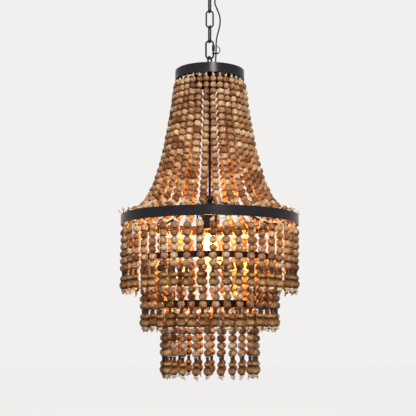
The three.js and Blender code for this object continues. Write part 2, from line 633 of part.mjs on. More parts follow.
// Top of the frame.
add('hanging_eye', hangingEye(), blackZinc, eye.turn);
add('top_plate', topPlate(), blackSteel);
add('plate_cord_grip', cordGrip(plate.cordHolePlace, plateTop, plate.thickness, false), blackPlastic);
add('coupling_nut', hexNut(coupling.acrossCorners, couplingTop - coupling.height, couplingTop,
  rod.radius + rod.clearance), blackZinc);

// Bands.
add('top_band', band(topBand), blackSteel);
add('main_band', band(mainBand, mainTier), blackSteel);
add('middle_band', band(middleBand, middleTier), blackSteel);
add('bottom_band', band(bottomBand, bottomTier), blackSteel);

// Middle of the frame.
add('stem', upright(rod.radius, stemBottom, stemTop, boreSides), blackZinc);
add('inner_lead', innerLead(), blackPlastic);
add('spider', spider(), blackSteel);
add('stem_nut', hexNut(nut.acrossCorners, hubBottom - gap - nut.height, hubBottom - gap,
  rod.radius + rod.clearance), blackZinc);

// Lampholder and lamp.
add('holder_cap', holderCap(), blackPlastic);
add('holder_body', holderBody(), blackPlastic);
add('holder_core', holderCore(), porcelain);
add('holder_contact', holderContact(), brass);
add('lamp_cap', lampCap(), brass);
add('lamp_glass', lampGlass(), clearGlass);
add('lamp_stem', lampStem(), clearGlass);
add('lamp_filament', lampFilament(), glowWire);

// Upper strands.
for (let group = 0; group < upper.groups; group += 1) {
  add(`upper_strands_${group + 1}`, upperGroup(), wood, group * 360 / upper.groups);
}

// Hanging strands.
for (const [name, tier] of [['main', mainTier], ['middle', middleTier], ['bottom', bottomTier]]) {
  for (let group = 0; group < tier.groups; group += 1) {
    add(`${name}_strands_${group + 1}`, strandGroup(tier), wood, tier.phase + group * 360 / tier.groups);
  }
}

export default chandelier;
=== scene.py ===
"""Looks of the beaded chandelier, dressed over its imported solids.

Everything is in metres, +Z up, with the origin on the ceiling above the chandelier's axis.
"""

import logging
import math
import random
from dataclasses import dataclass, field
from enum import Enum
from typing import Callable, Iterable, Optional, Sequence

import bpy
import numpy as np
from mathutils import Matrix, Vector


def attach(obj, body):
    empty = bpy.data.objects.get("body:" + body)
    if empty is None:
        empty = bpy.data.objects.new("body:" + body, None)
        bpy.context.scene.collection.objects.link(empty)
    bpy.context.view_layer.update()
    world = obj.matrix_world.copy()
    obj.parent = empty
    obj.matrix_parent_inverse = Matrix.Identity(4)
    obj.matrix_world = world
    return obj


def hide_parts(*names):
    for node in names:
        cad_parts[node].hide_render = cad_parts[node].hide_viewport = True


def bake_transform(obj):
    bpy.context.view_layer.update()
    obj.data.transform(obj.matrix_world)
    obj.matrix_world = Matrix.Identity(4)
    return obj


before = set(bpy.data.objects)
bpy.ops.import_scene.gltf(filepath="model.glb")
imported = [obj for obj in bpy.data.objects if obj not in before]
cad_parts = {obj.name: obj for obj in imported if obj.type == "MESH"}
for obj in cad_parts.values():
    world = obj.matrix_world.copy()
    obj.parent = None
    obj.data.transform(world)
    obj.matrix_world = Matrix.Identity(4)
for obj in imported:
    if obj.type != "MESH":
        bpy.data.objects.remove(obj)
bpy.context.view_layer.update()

logging.basicConfig(level=logging.INFO, format="%(levelname)s %(message)s")
log = logging.getLogger("chandelier")

Piece = bpy.types.Object
Socket = bpy.types.NodeSocket
Colour = tuple[float, float, float, float]
Outline = list[tuple[float, float]]
MM = 0.001
DOWN = Vector((0, 0, -1))
UPRIGHT = (math.pi / 2, 0, 0)


def mm(*values: float) -> tuple[float, ...]:
    """Turns millimetres into metres."""
    return tuple(value * MM for value in values)


def rings(base: float, *table: tuple[float, float]) -> Outline:
    """An outline from radii and heights in millimetres, the heights over a base in metres."""
    return [(radius * MM, base + height * MM) for radius, height in table]


def washer(bore: float, radius: float, low: float, high: float) -> Outline:
    """The outline of a plain ring between two radii and two heights."""
    return [(bore, low), (radius, low), (radius, high), (bore, high)]


def srgb(red: int, green: int, blue: int) -> Colour:
    """Turns a screen colour, 0 to 255 a channel, into the linear colour that a shader takes."""
    shares = (value / 255 for value in (red, green, blue))
    return (*(s / 12.92 if s <= 0.04045 else ((s + 0.055) / 1.055) ** 2.4 for s in shares), 1.0)


def around(angle: float, radius: float, height: float) -> Vector:
    """The point at an angle (degrees), a radius and a height."""
    turn = math.radians(angle)
    return Vector((radius * math.cos(turn), radius * math.sin(turn), height))


def facing(along: Vector) -> Matrix:
    """The turn that lays a piece's Z axis along a direction."""
    return along.to_track_quat("Z", "Y").to_matrix().to_4x4()


# Bench work: the steps that every piece is made with.


def clear_selection() -> None:
    """Deselects every object."""
    for piece in list(bpy.context.selected_objects):
        piece.select_set(False)


def take(piece: Piece) -> None:
    """Makes a piece the only one selected, and the active one.

    Args:
        piece: The piece to take.
    """
    clear_selection()
    piece.select_set(True)
    bpy.context.view_layer.objects.active = piece


def settle(piece: Piece, name: str) -> Piece:
    """Names a piece and applies its place, turn and size to its mesh.

    Args:
        piece: The piece as it was added and shaped.
        name: Its name from now on.

    Returns:
        The same piece, its object at the origin.
    """
    take(piece)
    bpy.ops.object.transform_apply(location=True, rotation=True, scale=True)
    piece.name = piece.data.name = name
    return piece


def pick(piece: Piece, test: Callable[[Vector], bool]) -> None:
    """Opens a piece in edit mode with the vertices that pass a test selected.

    Args:
        piece: The piece to open.
        test: Takes a vertex's place and says whether it is wanted.
    """
    take(piece)
    for part in (piece.data.edges, piece.data.polygons):
        part.foreach_set("select", [False] * len(part))
    for vertex in piece.data.vertices:
        vertex.select = bool(test(vertex.co))
    bpy.ops.object.mode_set(mode="EDIT")
    bpy.ops.mesh.select_mode(type="VERT")


def open_edit() -> None:
    """Opens the active piece in edit mode with all of it selected."""
    bpy.ops.object.mode_set(mode="EDIT")
    bpy.ops.mesh.select_all(action="SELECT")


def close_edit() -> None:
    """Leaves edit mode."""
    bpy.ops.object.mode_set(mode="OBJECT")


def face_outwards(piece: Piece) -> Piece:
    """Turns every face of a closed piece outwards.

    Args:
        piece: The closed piece.

    Returns:
        The same piece.
    """
    take(piece)
    open_edit()
    bpy.ops.mesh.remove_doubles(threshold=1e-6)
    bpy.ops.mesh.normals_make_consistent(inside=False)
    close_edit()
    return piece


def smooth(piece: Piece, angle: float = 35.0) -> Piece:
    """Shades a piece smooth.

    Args:
        piece: The piece to shade.
        angle: Edges sharper than this, in degrees, stay sharp.

    Returns:
        The same piece.
    """
    take(piece)
    bpy.ops.object.shade_smooth_by_angle(angle=math.radians(angle))
    return piece


def rounded(piece: Piece, width: float, segments: int = 2, angle: float = 35.0) -> Piece:
    """Rounds a piece's sharp edges.

    Args:
        piece: The piece to round.
        width: Width of the rounding.
        segments: Faces across it.
        angle: Only edges sharper than this, in degrees, are rounded.

    Returns:
        The same piece.
    """
    take(piece)
    bevel = piece.modifiers.new("Bevel", "BEVEL")
    bevel.width, bevel.segments = width, segments
    bevel.limit_method, bevel.angle_limit = "ANGLE", math.radians(angle)
    bpy.ops.object.modifier_apply(modifier=bevel.name)
    return piece


def merge(pieces: Iterable[Piece], name: str) -> Piece:
    """Joins two or more pieces into one mesh.

    Args:
        pieces: The pieces, each already in its place.
        name: The joined piece's name.

    Returns:
        The joined piece.
    """
    first, *others = pieces
    take(first)
    for part in others:
        part.select_set(True)
    bpy.ops.object.join()
    return settle(first, name)


def turned(name: str, outline: Outline, sides: int = 32, closed: bool = False) -> Piece:
    """Turns a piece about the axis, ring on ring, from its outline.

    Args:
        name: The piece's name.
        outline: Radius and height of each ring, in order along the surface.
        sides: Number of faces round the axis.
        closed: True for a hollow piece whose outline comes back to its first ring.

    Returns:
        A closed piece about the Z axis.
    """
    radius, height = outline[0]
    bpy.ops.mesh.primitive_circle_add(
        vertices=sides, radius=radius, fill_type="NOTHING" if closed else "NGON", location=(0, 0, height))
    piece = settle(bpy.context.object, name)
    open_edit()
    for wide, high in [*outline[1:], outline[0]] if closed else outline[1:]:
        bpy.ops.mesh.extrude_region_move(TRANSFORM_OT_translate={"value": (0, 0, high - height)})
        bpy.ops.transform.resize(value=(wide / radius, wide / radius, 1), center_override=(0, 0, high))
        radius, height = wide, high
    close_edit()
    return face_outwards(piece)


def rod(name: str, start: Vector, end: Vector, radius: float, sides: int, ease: float) -> Piece:
    """A straight round rod between two points.

    Args:
        name: The piece's name.
        start: One end's centre.
        end: The other end's centre.
        radius: The rod's radius.
        sides: Number of faces round it.
        ease: Width of the rounding at its ends.

    Returns:
        The rod.
    """
    along = end - start
    bpy.ops.mesh.primitive_cylinder_add(
        vertices=sides, radius=radius, depth=along.length, location=(start + end) / 2,
        rotation=along.to_track_quat("Z", "Y").to_euler())
    return rounded(settle(bpy.context.object, name), ease, 2, 60)


def swept(name: str, piece: Piece, radius: float, resolution: int, capped: bool = True) -> Piece:
    """Turns a curve into a round mesh along it.

    Args:
        name: The piece's name.
        piece: The curve.
        radius: The section's radius.
        resolution: The section's resolution, as the curve counts it.
        capped: True if its ends are closed.

    Returns:
        The mesh.
    """
    curve = piece.data
    curve.dimensions, curve.bevel_mode = "3D", "ROUND"
    curve.bevel_depth, curve.bevel_resolution = radius, resolution
    curve.use_fill_caps = capped
    take(piece)
    bpy.ops.object.convert(target="MESH")
    return settle(bpy.context.object, name)


def bent_wire(name: str, points: Sequence[Sequence[float]], radius: float, sides: int = 8,
              closed: bool = False, steps: int = 6) -> Piece:
    """A round wire bent through points.

    Args:
        name: The piece's name.
        points: The wire's middle, in order.
        radius: The wire's radius.
        sides: Number of faces round it.
        closed: True if the last point joins the first.
        steps: Steps from each point to the next.

    Returns:
        The wire.
    """
    bpy.ops.curve.primitive_bezier_curve_add(location=(0, 0, 0))
    piece = bpy.context.object
    spline = piece.data.splines[0]
    spline.bezier_points.add(len(points) - 2)
    for knot, place in zip(spline.bezier_points, points):
        knot.co = place
        knot.handle_left_type = knot.handle_right_type = "AUTO"
    spline.use_cyclic_u, spline.resolution_u = closed, steps
    return swept(name, piece, radius, max(0, sides // 2 - 2), not closed)


def block(name: str, centre: Sequence[float], size: Sequence[float], ease: float) -> Piece:
    """A block of a size about a centre, its edges rounded by a width."""
    bpy.ops.mesh.primitive_cube_add(size=1, location=centre, scale=size)
    return rounded(settle(bpy.context.object, name), ease)


def torus(name: str, radius: float, wire: float, place: Sequence[float] = (0, 0, 0),
          turn: Sequence[float] = UPRIGHT, steps: tuple[int, int] = (48, 14)) -> Piece:
    """A ring of round wire.

    Args:
        name: The piece's name.
        radius: Radius of the wire's middle line.
        wire: The wire's radius.
        place: The ring's centre.
        turn: Its turn about the three axes, in radians.
        steps: Faces round the ring and round the wire.

    Returns:
        The ring.
    """
    bpy.ops.mesh.primitive_torus_add(
        major_segments=steps[0], minor_segments=steps[1], major_radius=radius, minor_radius=wire,
        location=place, rotation=turn)
    return settle(bpy.context.object, name)


def moved(piece: Piece, x: float = 0.0, z: float = 0.0) -> Piece:
    """Moves a piece's mesh sideways and up."""
    piece.data.transform(Matrix.Translation((x, 0, z)))
    return piece


def spun_about_z(piece: Piece, angle: float) -> Piece:
    """Turns a piece's mesh about the chandelier's axis by an angle in degrees."""
    piece.data.transform(Matrix.Rotation(math.radians(angle), 4, "Z"))
    return piece


def keep_on(piece: Piece, name: str, values: Sequence[float]) -> None:
    """Keeps a value for each vertex of a piece."""
    piece.data.attributes.new(name, "FLOAT", "POINT").data.foreach_set("value", values)


@dataclass(frozen=True)
class Look:
    """A finish, with the record's material slot that it belongs to."""

    slot: str
    material: bpy.types.Material


def seat(piece: Piece, body: str, look: Look, node: str) -> Piece:
    """Finishes a piece: its material, the body it moves with and the solid it stands for.

    Args:
        piece: The finished mesh.
        body: The body it rides on.
        look: Its finish.
        node: The solid it replaces.

    Returns:
        The same piece.
    """
    piece.data.materials.clear()
    piece.data.materials.append(look.material)
    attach(piece, body)
    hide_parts(node)
    log.info("%s: %d faces on %s", piece.name, len(piece.data.polygons), body)
    return piece


def dress(node: str, look: Look) -> None:
    """Gives a solid that stays in view its finish."""
    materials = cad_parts[node].data.materials
    materials.clear()
    materials.append(look.material)


@dataclass
class Pattern:
    """A piece modelled once and copied, with its own coordinates and tone kept on each copy."""

    original: Piece

    def __post_init__(self) -> None:
        """Writes the pattern's own coordinates as its grain."""
        mesh = self.original.data
        self.places = np.empty(len(mesh.vertices) * 3, dtype=np.float32)
        mesh.vertices.foreach_get("co", self.places)
        mesh.attributes.new("grain", "FLOAT_VECTOR", "POINT").data.foreach_set("vector", self.places)
        mesh.attributes.new("tone", "FLOAT", "POINT")

    def copy(self, place: Matrix, tone: float, shift: Sequence[float] = (0, 0, 0),
             stretch: Sequence[float] = (1, 1, 1)) -> Piece:
        """Makes a copy with its own mesh.

        Args:
            place: Where the copy goes.
            tone: The copy's tone, 0 to 1.
            shift: How far its grain is moved, so that no two are alike.
            stretch: How much its grain is stretched along each axis.

        Returns:
            The copy.
        """
        mesh = self.original.data.copy()
        grain = self.places.reshape(-1, 3) * np.array(stretch, dtype=np.float32)
        grain = grain + np.array(shift, dtype=np.float32)
        mesh.attributes["grain"].data.foreach_set("vector", grain.ravel())
        mesh.attributes["tone"].data.foreach_set("value", np.full(len(mesh.vertices), tone, dtype=np.float32))
        mesh.transform(place)
        piece = bpy.data.objects.new(self.original.name, mesh)
        bpy.context.collection.objects.link(piece)
        return piece

    def retire(self) -> None:
        """Removes the original."""
        bpy.data.objects.remove(self.original, do_unlink=True)


# Finishes: node graphs, the effects that several of them share, and the materials.


class Graph:
    """A node tree under construction. Its values are numbers, colours or other nodes' outputs."""

    def __init__(self, tree: bpy.types.NodeTree) -> None:
        """Takes the tree to add to."""
        self.tree = tree

    def feed(self, inputs: bpy.types.NodeInputs, values: dict[str, object]) -> None:
        """Links or writes values to a node's inputs.

        Args:
            inputs: The node's inputs.
            values: A value for each input, spaces in the inputs' names written as underscores.
        """
        for key, value in values.items():
            self.put(inputs[key.replace("_", " ")], value)

    def put(self, socket: Socket, value: object) -> None:
        """Links another node's output to an input, or writes a value on it."""
        if isinstance(value, Socket):
            self.tree.links.new(value, socket)
        else:
            socket.default_value = value

    def node(self, kind: str, **values: object) -> bpy.types.Node:
        """Adds a node.

        Args:
            kind: The node's type, without the words that every shader node's type starts with.
            **values: Values for its inputs, as in feed.

        Returns:
            The node.
        """
        made = self.tree.nodes.new(f"ShaderNode{kind}")
        self.feed(made.inputs, values)
        return made

    def maths(self, operation: str, *values: object) -> Socket:
        """Works out a sum.

        Args:
            operation: The operation.
            *values: What it works on.

        Returns:
            The result.
        """
        made = self.node("Math")
        made.operation = operation
        for socket, value in zip(made.inputs, values):
            self.put(socket, value)
        return made.outputs[0]

    def noise(self, place: Socket, scale: object, detail: float = 2.0, **values: float) -> Socket:
        """Soft random clouds of 0 to 1."""
        return self.node("TexNoise", Vector=place, Scale=scale, Detail=detail, **values).outputs["Fac"]

    def spread(self, value: Socket, low: float, high: float) -> Socket:
        """Spreads the part of a value between two limits over 0 to 1."""
        return self.node("MapRange", Value=value, From_Min=low, From_Max=high).outputs["Result"]

    def ranged(self, value: Socket, low: float, high: float) -> Socket:
        """Spreads a value of 0 to 1 over a range."""
        return self.node("MapRange", Value=value, To_Min=low, To_Max=high).outputs["Result"]

    def seen(self) -> Socket:
        """Tells what is seen, straight or in metal or glass, from what only lights.

        Returns:
            1 for a camera, glossy or transmission ray, else 0.
        """
        path = self.node("LightPath").outputs
        either = self.maths("MAXIMUM", path["Is Camera Ray"], path["Is Glossy Ray"])
        return self.maths("MAXIMUM", either, path["Is Transmission Ray"])


class Effects:
    """Node groups for grain, fine texture, rope lay and dust."""

    def __init__(self) -> None:
        """Builds every group once."""
        self.grain = self._group("turned grain", "Scale", self._grain)
        self.fine = self._group("fine texture", "Scale", self._fine)
        self.lay = self._group("rope lay", "Turns", self._lay)
        self.dust = self._group("settled dust", "Amount", self._dust)

    @staticmethod
    def _group(name: str, value: str, build: Callable[[Graph, Socket, Socket], dict]) -> bpy.types.NodeTree:
        """Makes a group that takes coordinates and one value.

        Args:
            name: The group's name.
            value: The value's name.
            build: Adds the nodes and gives each output's name and source.

        Returns:
            The group.
        """
        tree = bpy.data.node_groups.new(name, "ShaderNodeTree")
        tree.interface.new_socket("Vector", in_out="INPUT", socket_type="NodeSocketVector")
        tree.interface.new_socket(value, in_out="INPUT", socket_type="NodeSocketFloat")
        source = tree.nodes.new("NodeGroupInput").outputs
        made = build(Graph(tree), source["Vector"], source[value])
        for label in made:
            tree.interface.new_socket(label, in_out="OUTPUT", socket_type="NodeSocketFloat")
        Graph(tree).feed(tree.nodes.new("NodeGroupOutput").inputs, made)
        return tree

    @staticmethod
    def _grain(graph: Graph, place: Socket, scale: Socket) -> dict[str, Socket]:
        """Long streaks, short dark flecks and broad patches of turned wood, along the bead's hole."""
        patches = graph.noise(place, graph.maths("MULTIPLY", scale, 0.42), 3.0, Distortion=0.8)
        along = graph.node("Mapping", Vector=place, Scale=(1.0, 1.0, 0.22)).outputs["Vector"]
        streaks = graph.noise(along, scale, 5.0, Roughness=0.62, Distortion=0.6)
        flecks = graph.spread(graph.noise(along, graph.maths("MULTIPLY", scale, 2.6)), 0.60, 0.72)
        return {"Streaks": graph.spread(streaks, 0.42, 0.66), "Flecks": flecks,
                "Patches": graph.spread(patches, 0.34, 0.66),
                "Height": graph.maths("SUBTRACT", streaks, flecks)}

    @staticmethod
    def _fine(graph: Graph, place: Socket, scale: Socket) -> dict[str, Socket]:
        """Fine pebbling with broad soft clouds, for coatings and mouldings."""
        clouds = graph.noise(place, graph.maths("MULTIPLY", scale, 0.04), 4.0)
        return {"Clouds": clouds, "Height": graph.noise(place, scale)}

    @staticmethod
    def _lay(graph: Graph, place: Socket, turns: Socket) -> dict[str, Socket]:
        """The lay of a rope of three strands about its own axis, with loose fibres; its crease mask marks
        where shade is painted.
        """
        parts = graph.node("SeparateXYZ", Vector=place).outputs
        thrice = graph.maths("MULTIPLY", graph.maths("ARCTAN2", parts["Y"], parts["X"]), 3.0)
        wave = graph.maths("SINE", graph.maths("MULTIPLY_ADD", parts["Z"], turns, thrice))
        return {"Crease": graph.spread(wave, -0.2, -1.0),
                "Height": graph.maths("ADD", wave, graph.noise(place, 2600.0))}

    @staticmethod
    def _dust(graph: Graph, place: Socket, amount: Socket) -> dict[str, Socket]:
        """Where dust settles: on what faces up, in uneven clouds."""
        normal = graph.node("NewGeometry").outputs["Normal"]
        upward = graph.spread(graph.node("SeparateXYZ", Vector=normal).outputs["Z"], 0.35, 1.0)
        share = graph.maths("MULTIPLY", upward, graph.noise(place, 60.0, 5.0))
        return {"Mask": graph.maths("MULTIPLY", share, amount)}


class Recipe(Graph):
    """A material under construction, with its one shader."""

    def __init__(self, name: str) -> None:
        """Starts a material with a Principled shader."""
        self.material = bpy.data.materials.new(name)
        self.material.use_nodes = True
        super().__init__(self.material.node_tree)
        self.shader = self.tree.nodes["Principled BSDF"]

    def done(self, **values: object) -> bpy.types.Material:
        """Feeds the shader's inputs, named as in feed, and hands over the material."""
        self.feed(self.shader.inputs, values)
        return self.material

    def effect(self, group: bpy.types.NodeTree, place: Socket, **values: float) -> bpy.types.NodeOutputs:
        """Adds a node group.

        Args:
            group: The group.
            place: The coordinates that it works on.
            **values: Its own value.

        Returns:
            Its outputs.
        """
        made = self.node("Group")
        made.node_tree = group
        self.feed(made.inputs, {"Vector": place, **values})
        return made.outputs

    def place(self) -> Socket:
        """The piece's own coordinates."""
        return self.node("TexCoord").outputs["Object"]

    def attribute(self, name: str, kind: str = "Fac") -> Socket:
        """Reads a value kept on the mesh.

        Args:
            name: The attribute's name.
            kind: The output that reads it.

        Returns:
            The value.
        """
        made = self.node("Attribute")
        made.attribute_name = name
        return made.outputs[kind]

    def ramp(self, value: Socket, stops: Sequence[tuple[float, Colour]]) -> Socket:
        """Turns a value into a colour.

        Args:
            value: The value.
            stops: Position and colour of each stop.

        Returns:
            The colour.
        """
        made = self.node("ValToRGB", Fac=value)
        elements = made.color_ramp.elements
        while len(elements) < len(stops):
            elements.new(0.5)
        for element, (position, colour) in zip(elements, stops):
            element.position, element.color = position, colour
        return made.outputs["Color"]

    def mixed(self, share: Socket, first: object, second: object, most: float = 1.0) -> Socket:
        """Mixes two colours.

        Args:
            share: How much of the second shows.
            first: A socket or a colour.
            second: A socket or a colour.
            most: What the share is multiplied by.

        Returns:
            The mixed colour.
        """
        made = self.node("Mix")
        made.data_type = "RGBA"
        self.put(made.inputs["Factor"], self.maths("MULTIPLY", share, most))
        self.put(made.inputs[6], first)
        self.put(made.inputs[7], second)
        return made.outputs[2]

    def bump(self, height: Socket, distance: float, strength: float) -> Socket:
        """The normal of a surface bumped by a height, over a distance in metres."""
        return self.node("Bump", Height=height, Distance=distance, Strength=strength).outputs["Normal"]


@dataclass(frozen=True)
class Coat:
    """Coated, moulded or bare metal or plastic: fine pebbling, cloudy gloss, and dust on what faces up.

    On the inside of a band the coat turns warm brown: painted light from the lamp.
    """

    name: str
    colour: Colour
    worn: Colour
    roughness: tuple[float, float]
    pebble: float
    dust: float = 0.25
    dusty: Colour = srgb(140, 136, 130)
    metallic: float = 0.0
    specular: float = 0.25
    relief: float = 0.3
    # Warm brown on the inside of a band: painted light from the lamp inside.
    lamp_lit_inside: Colour = srgb(86, 58, 42)
    relief_depth: float = 0.00008

    def make(self, effects: Effects) -> bpy.types.Material:
        """Builds the material.

        Args:
            effects: The shared effects.

        Returns:
            The material.
        """
        recipe = Recipe(self.name)
        place = recipe.place()
        fine = recipe.effect(effects.fine, place, Scale=self.pebble)
        dust = recipe.effect(effects.dust, place, Amount=self.dust)
        cloudy = recipe.mixed(fine["Clouds"], self.colour, self.worn)
        # The inside of a band, marked on the mesh, takes the painted lamp light.
        lamp_lit = recipe.mixed(recipe.attribute("inside"), cloudy, self.lamp_lit_inside)
        return recipe.done(
            Base_Color=recipe.mixed(dust["Mask"], lamp_lit, self.dusty),
            Roughness=recipe.ranged(fine["Clouds"], *self.roughness),
            Metallic=self.metallic, Specular_IOR_Level=self.specular,
            Normal=recipe.bump(fine["Height"], self.relief_depth, self.relief))


@dataclass(frozen=True)
class TurnedWood:
    """Washed, turned wood, its tone kept on each bead, with grain streaks and dark flecks, and dark ends:
    painted shade where beads meet, real scorching on a finial.
    """

    name: str = "turned wood"
    stops: tuple = ((0.0, srgb(96, 58, 34)), (0.25, srgb(138, 92, 58)), (0.5, srgb(174, 126, 86)),
                    (0.8, srgb(206, 162, 118)), (1.0, srgb(230, 198, 156)))
    # The default dark colour is the painted shade at a bead's ends; a finial passes its scorch colour
    # instead.
    shade_and_scorch_colour: Colour = srgb(60, 36, 22)
    shade_and_scorch_share: float = 0.8
    streak: Colour = srgb(104, 66, 42)
    streaked: float = 0.55
    fleck: Colour = srgb(52, 32, 20)
    flecked: float = 0.75
    grain_scale: float = 330.0
    patchiness: float = 0.55
    tone_range: tuple[float, float] = (-0.27, 0.72)
    roughness: tuple[float, float] = (0.42, 0.6)
    specular: float = 0.15
    relief_depth: float = 0.0004
    relief: float = 0.5

    def make(self, effects: Effects) -> bpy.types.Material:
        """Builds the material.

        Args:
            effects: The shared effects.

        Returns:
            The material.
        """
        recipe = Recipe(self.name)
        grain = recipe.effect(effects.grain, recipe.attribute("grain", "Vector"), Scale=self.grain_scale)
        tone = recipe.ranged(recipe.attribute("tone"), *self.tone_range)
        body = recipe.ramp(recipe.maths("MULTIPLY_ADD", grain["Patches"], self.patchiness, tone), self.stops)
        # Darkens the marked places: painted shade where beads meet, and the scorched neck and grooves of a
        # finial.
        body = recipe.mixed(recipe.attribute("shade_and_scorch"), body, self.shade_and_scorch_colour, self.shade_and_scorch_share)
        streaked = recipe.mixed(grain["Streaks"], body, self.streak, self.streaked)
        return recipe.done(
            Base_Color=recipe.mixed(grain["Flecks"], streaked, self.fleck, self.flecked),
            Roughness=recipe.ranged(grain["Streaks"], *self.roughness), Specular_IOR_Level=self.specular,
            Normal=recipe.bump(grain["Height"], self.relief_depth, self.relief))


@dataclass(frozen=True)
class CottonRope:
    """Undyed cotton rope, twisted, with a soft nap, and painted shade in the creases of its lay."""

    name: str = "cotton rope"
    dark: Colour = srgb(222, 196, 160)
    pale: Colour = srgb(246, 232, 208)
    # Darker colour in the creases between the strands: painted shade.
    crease: Colour = srgb(164, 130, 96)
    crease_shade_share: float = 0.45
    turns: float = 1100.0
    roughness: tuple[float, float] = (0.86, 0.96)
    nap: float = 0.25
    relief_depth: float = 0.0004
    relief: float = 0.5

    def make(self, effects: Effects) -> bpy.types.Material:
        """Builds the material.

        Args:
            effects: The shared effects.

        Returns:
            The material.
        """
        recipe = Recipe(self.name)
        lay = recipe.effect(effects.lay, recipe.attribute("grain", "Vector"), Turns=self.turns)
        tone = recipe.attribute("tone")
        body = recipe.ramp(tone, ((0.0, self.dark), (1.0, self.pale)))
        return recipe.done(
            Base_Color=recipe.mixed(lay["Crease"], body, self.crease, self.crease_shade_share),
            Roughness=recipe.ranged(tone, *self.roughness), Sheen_Weight=self.nap,
            Normal=recipe.bump(lay["Height"], self.relief_depth, self.relief))


@dataclass(frozen=True)
class LampGlass:
    """Clear lamp glass. The glare of the lit lamp is a faint glow of the glass, strongest by the filament."""

    name: str = "lamp glass"
    tint: Colour = (1.0, 0.87, 0.64, 1.0)
    glare: tuple = (
        (0.0, (0.0, 0.0, 0.0, 1.0)), (0.5, (0.3, 0.11, 0.012, 1.0)), (1.0, (1.0, 0.62, 0.24, 1.0)))
    glow: float = 0.6
    index: float = 1.3
    roughness: tuple[float, float] = (0.02, 0.07)
    cloud_scale: float = 700.0

    def make(self, effects: Effects) -> bpy.types.Material:
        """Builds the material.

        Args:
            effects: The shared effects.

        Returns:
            The material.
        """
        recipe = Recipe(self.name)
        fine = recipe.effect(effects.fine, recipe.place(), Scale=self.cloud_scale)
        return recipe.done(
            Base_Color=self.tint, Transmission_Weight=1.0, IOR=self.index,
            Roughness=recipe.ranged(fine["Clouds"], *self.roughness),
            Emission_Color=recipe.ramp(recipe.attribute("glare"), self.glare), Emission_Strength=self.glow)


@dataclass(frozen=True)
class GlowingWire:
    """The lamp's filament, lit."""

    name: str = "glowing filament"
    bright: Colour = (1.0, 0.72, 0.36, 1.0)
    dim: Colour = (1.0, 0.58, 0.22, 1.0)
    strength: float = 26.0
    cloud_scale: float = 3000.0

    def make(self, effects: Effects) -> bpy.types.Material:
        """Builds the material.

        Args:
            effects: The shared effects.

        Returns:
            The material.
        """
        recipe = Recipe(self.name)
        fine = recipe.effect(effects.fine, recipe.place(), Scale=self.cloud_scale)
        light = recipe.mixed(fine["Clouds"], self.bright, self.dim)
        return recipe.done(Base_Color=light, Emission_Color=light, Emission_Strength=self.strength)


@dataclass
class Finishes:
    """Every finish of the chandelier, built once."""

    effects: Effects = field(default_factory=Effects)

    def __post_init__(self) -> None:
        """Builds the materials."""
        grey, scorched = srgb(150, 146, 140), srgb(36, 28, 24)
        cream, black, grime = srgb(232, 226, 212), srgb(24, 23, 23), srgb(20, 20, 21)
        self.steel = self._look("black_steel", Coat(
            "black steel", srgb(27, 25, 29), srgb(43, 40, 45), (0.18, 0.28), 1500.0, 0.5, grey, 0.0, 0.11,
            0.25))
        self.zinc = self._look("black_zinc", Coat(
            "black zinc", srgb(17, 16, 18), srgb(36, 35, 36), (0.3, 0.5), 2400.0, 0.3, grey, 0.1, 0.11, 0.25))
        self.wood = self._look("turned_wood", TurnedWood())
        self.scorched = self._look("turned_wood", TurnedWood("scorched wood", (
            (0.0, srgb(122, 78, 42)), (0.5, srgb(184, 130, 74)), (1.0, srgb(228, 180, 118))), scorched, 0.97))
        self.rope = self._look("turned_wood", CottonRope())
        self.plastic = self._look("black_plastic", Coat("black moulding", black, black, (0.38, 0.55), 2200.0))
        self.sheath = self._look("black_cord", Coat("cord sheath", grime, grime, (0.45, 0.62), 2200.0))
        self.porcelain = self._look("porcelain", Coat("porcelain", cream, cream, (0.14, 0.3), 900.0))
        self.brass = self._look("brass", Coat(
            "bright brass", srgb(226, 184, 112), srgb(176, 128, 66), (0.2, 0.42), 1500.0, 0.0, metallic=1.0,
            specular=0.5, relief=0.0))
        self.glass = self._look("clear_glass", LampGlass())
        self.filament = self._look("filament", GlowingWire())

    def _look(self, slot: str, finish: object) -> Look:
        """Builds a finish for a slot."""
        return Look(slot, finish.make(self.effects))


# Sizes that several sub-assemblies share, in metres, with heights from the ceiling.


@dataclass(frozen=True)
class Heights:
    """Heights of the chandelier's main places."""

    cup_bottom: float = -0.038
    plate_top: float = -0.25565
    hub_bottom: float = -0.57065
    holder_top: float = -0.57625
    holder_bottom: float = -0.63855
    glass_top: float = -0.61655
    cap_bottom: float = -0.62455
    cap_top: float = -0.59155


@dataclass(frozen=True)
class BandSize:
    """A steel band: outer radius, height and the height of its top edge."""

    radius: float
    height: float
    top: float
    wall: float = 0.0015

    @property
    def bottom(self) -> float:
        """Height of the lower edge."""
        return self.top - self.height

    @property
    def inner(self) -> float:
        """Radius of the inner face."""
        return self.radius - self.wall


HEIGHTS = Heights()
GAP = 0.0003
TOP_BAND = BandSize(0.083, 0.023, HEIGHTS.plate_top)
MAIN_BAND = BandSize(0.209, 0.023, HEIGHTS.plate_top - 0.351)
MIDDLE_BAND = BandSize(0.1615, 0.014, HEIGHTS.plate_top - 0.446)
BOTTOM_BAND = BandSize(0.1155, 0.016, HEIGHTS.plate_top - 0.551)


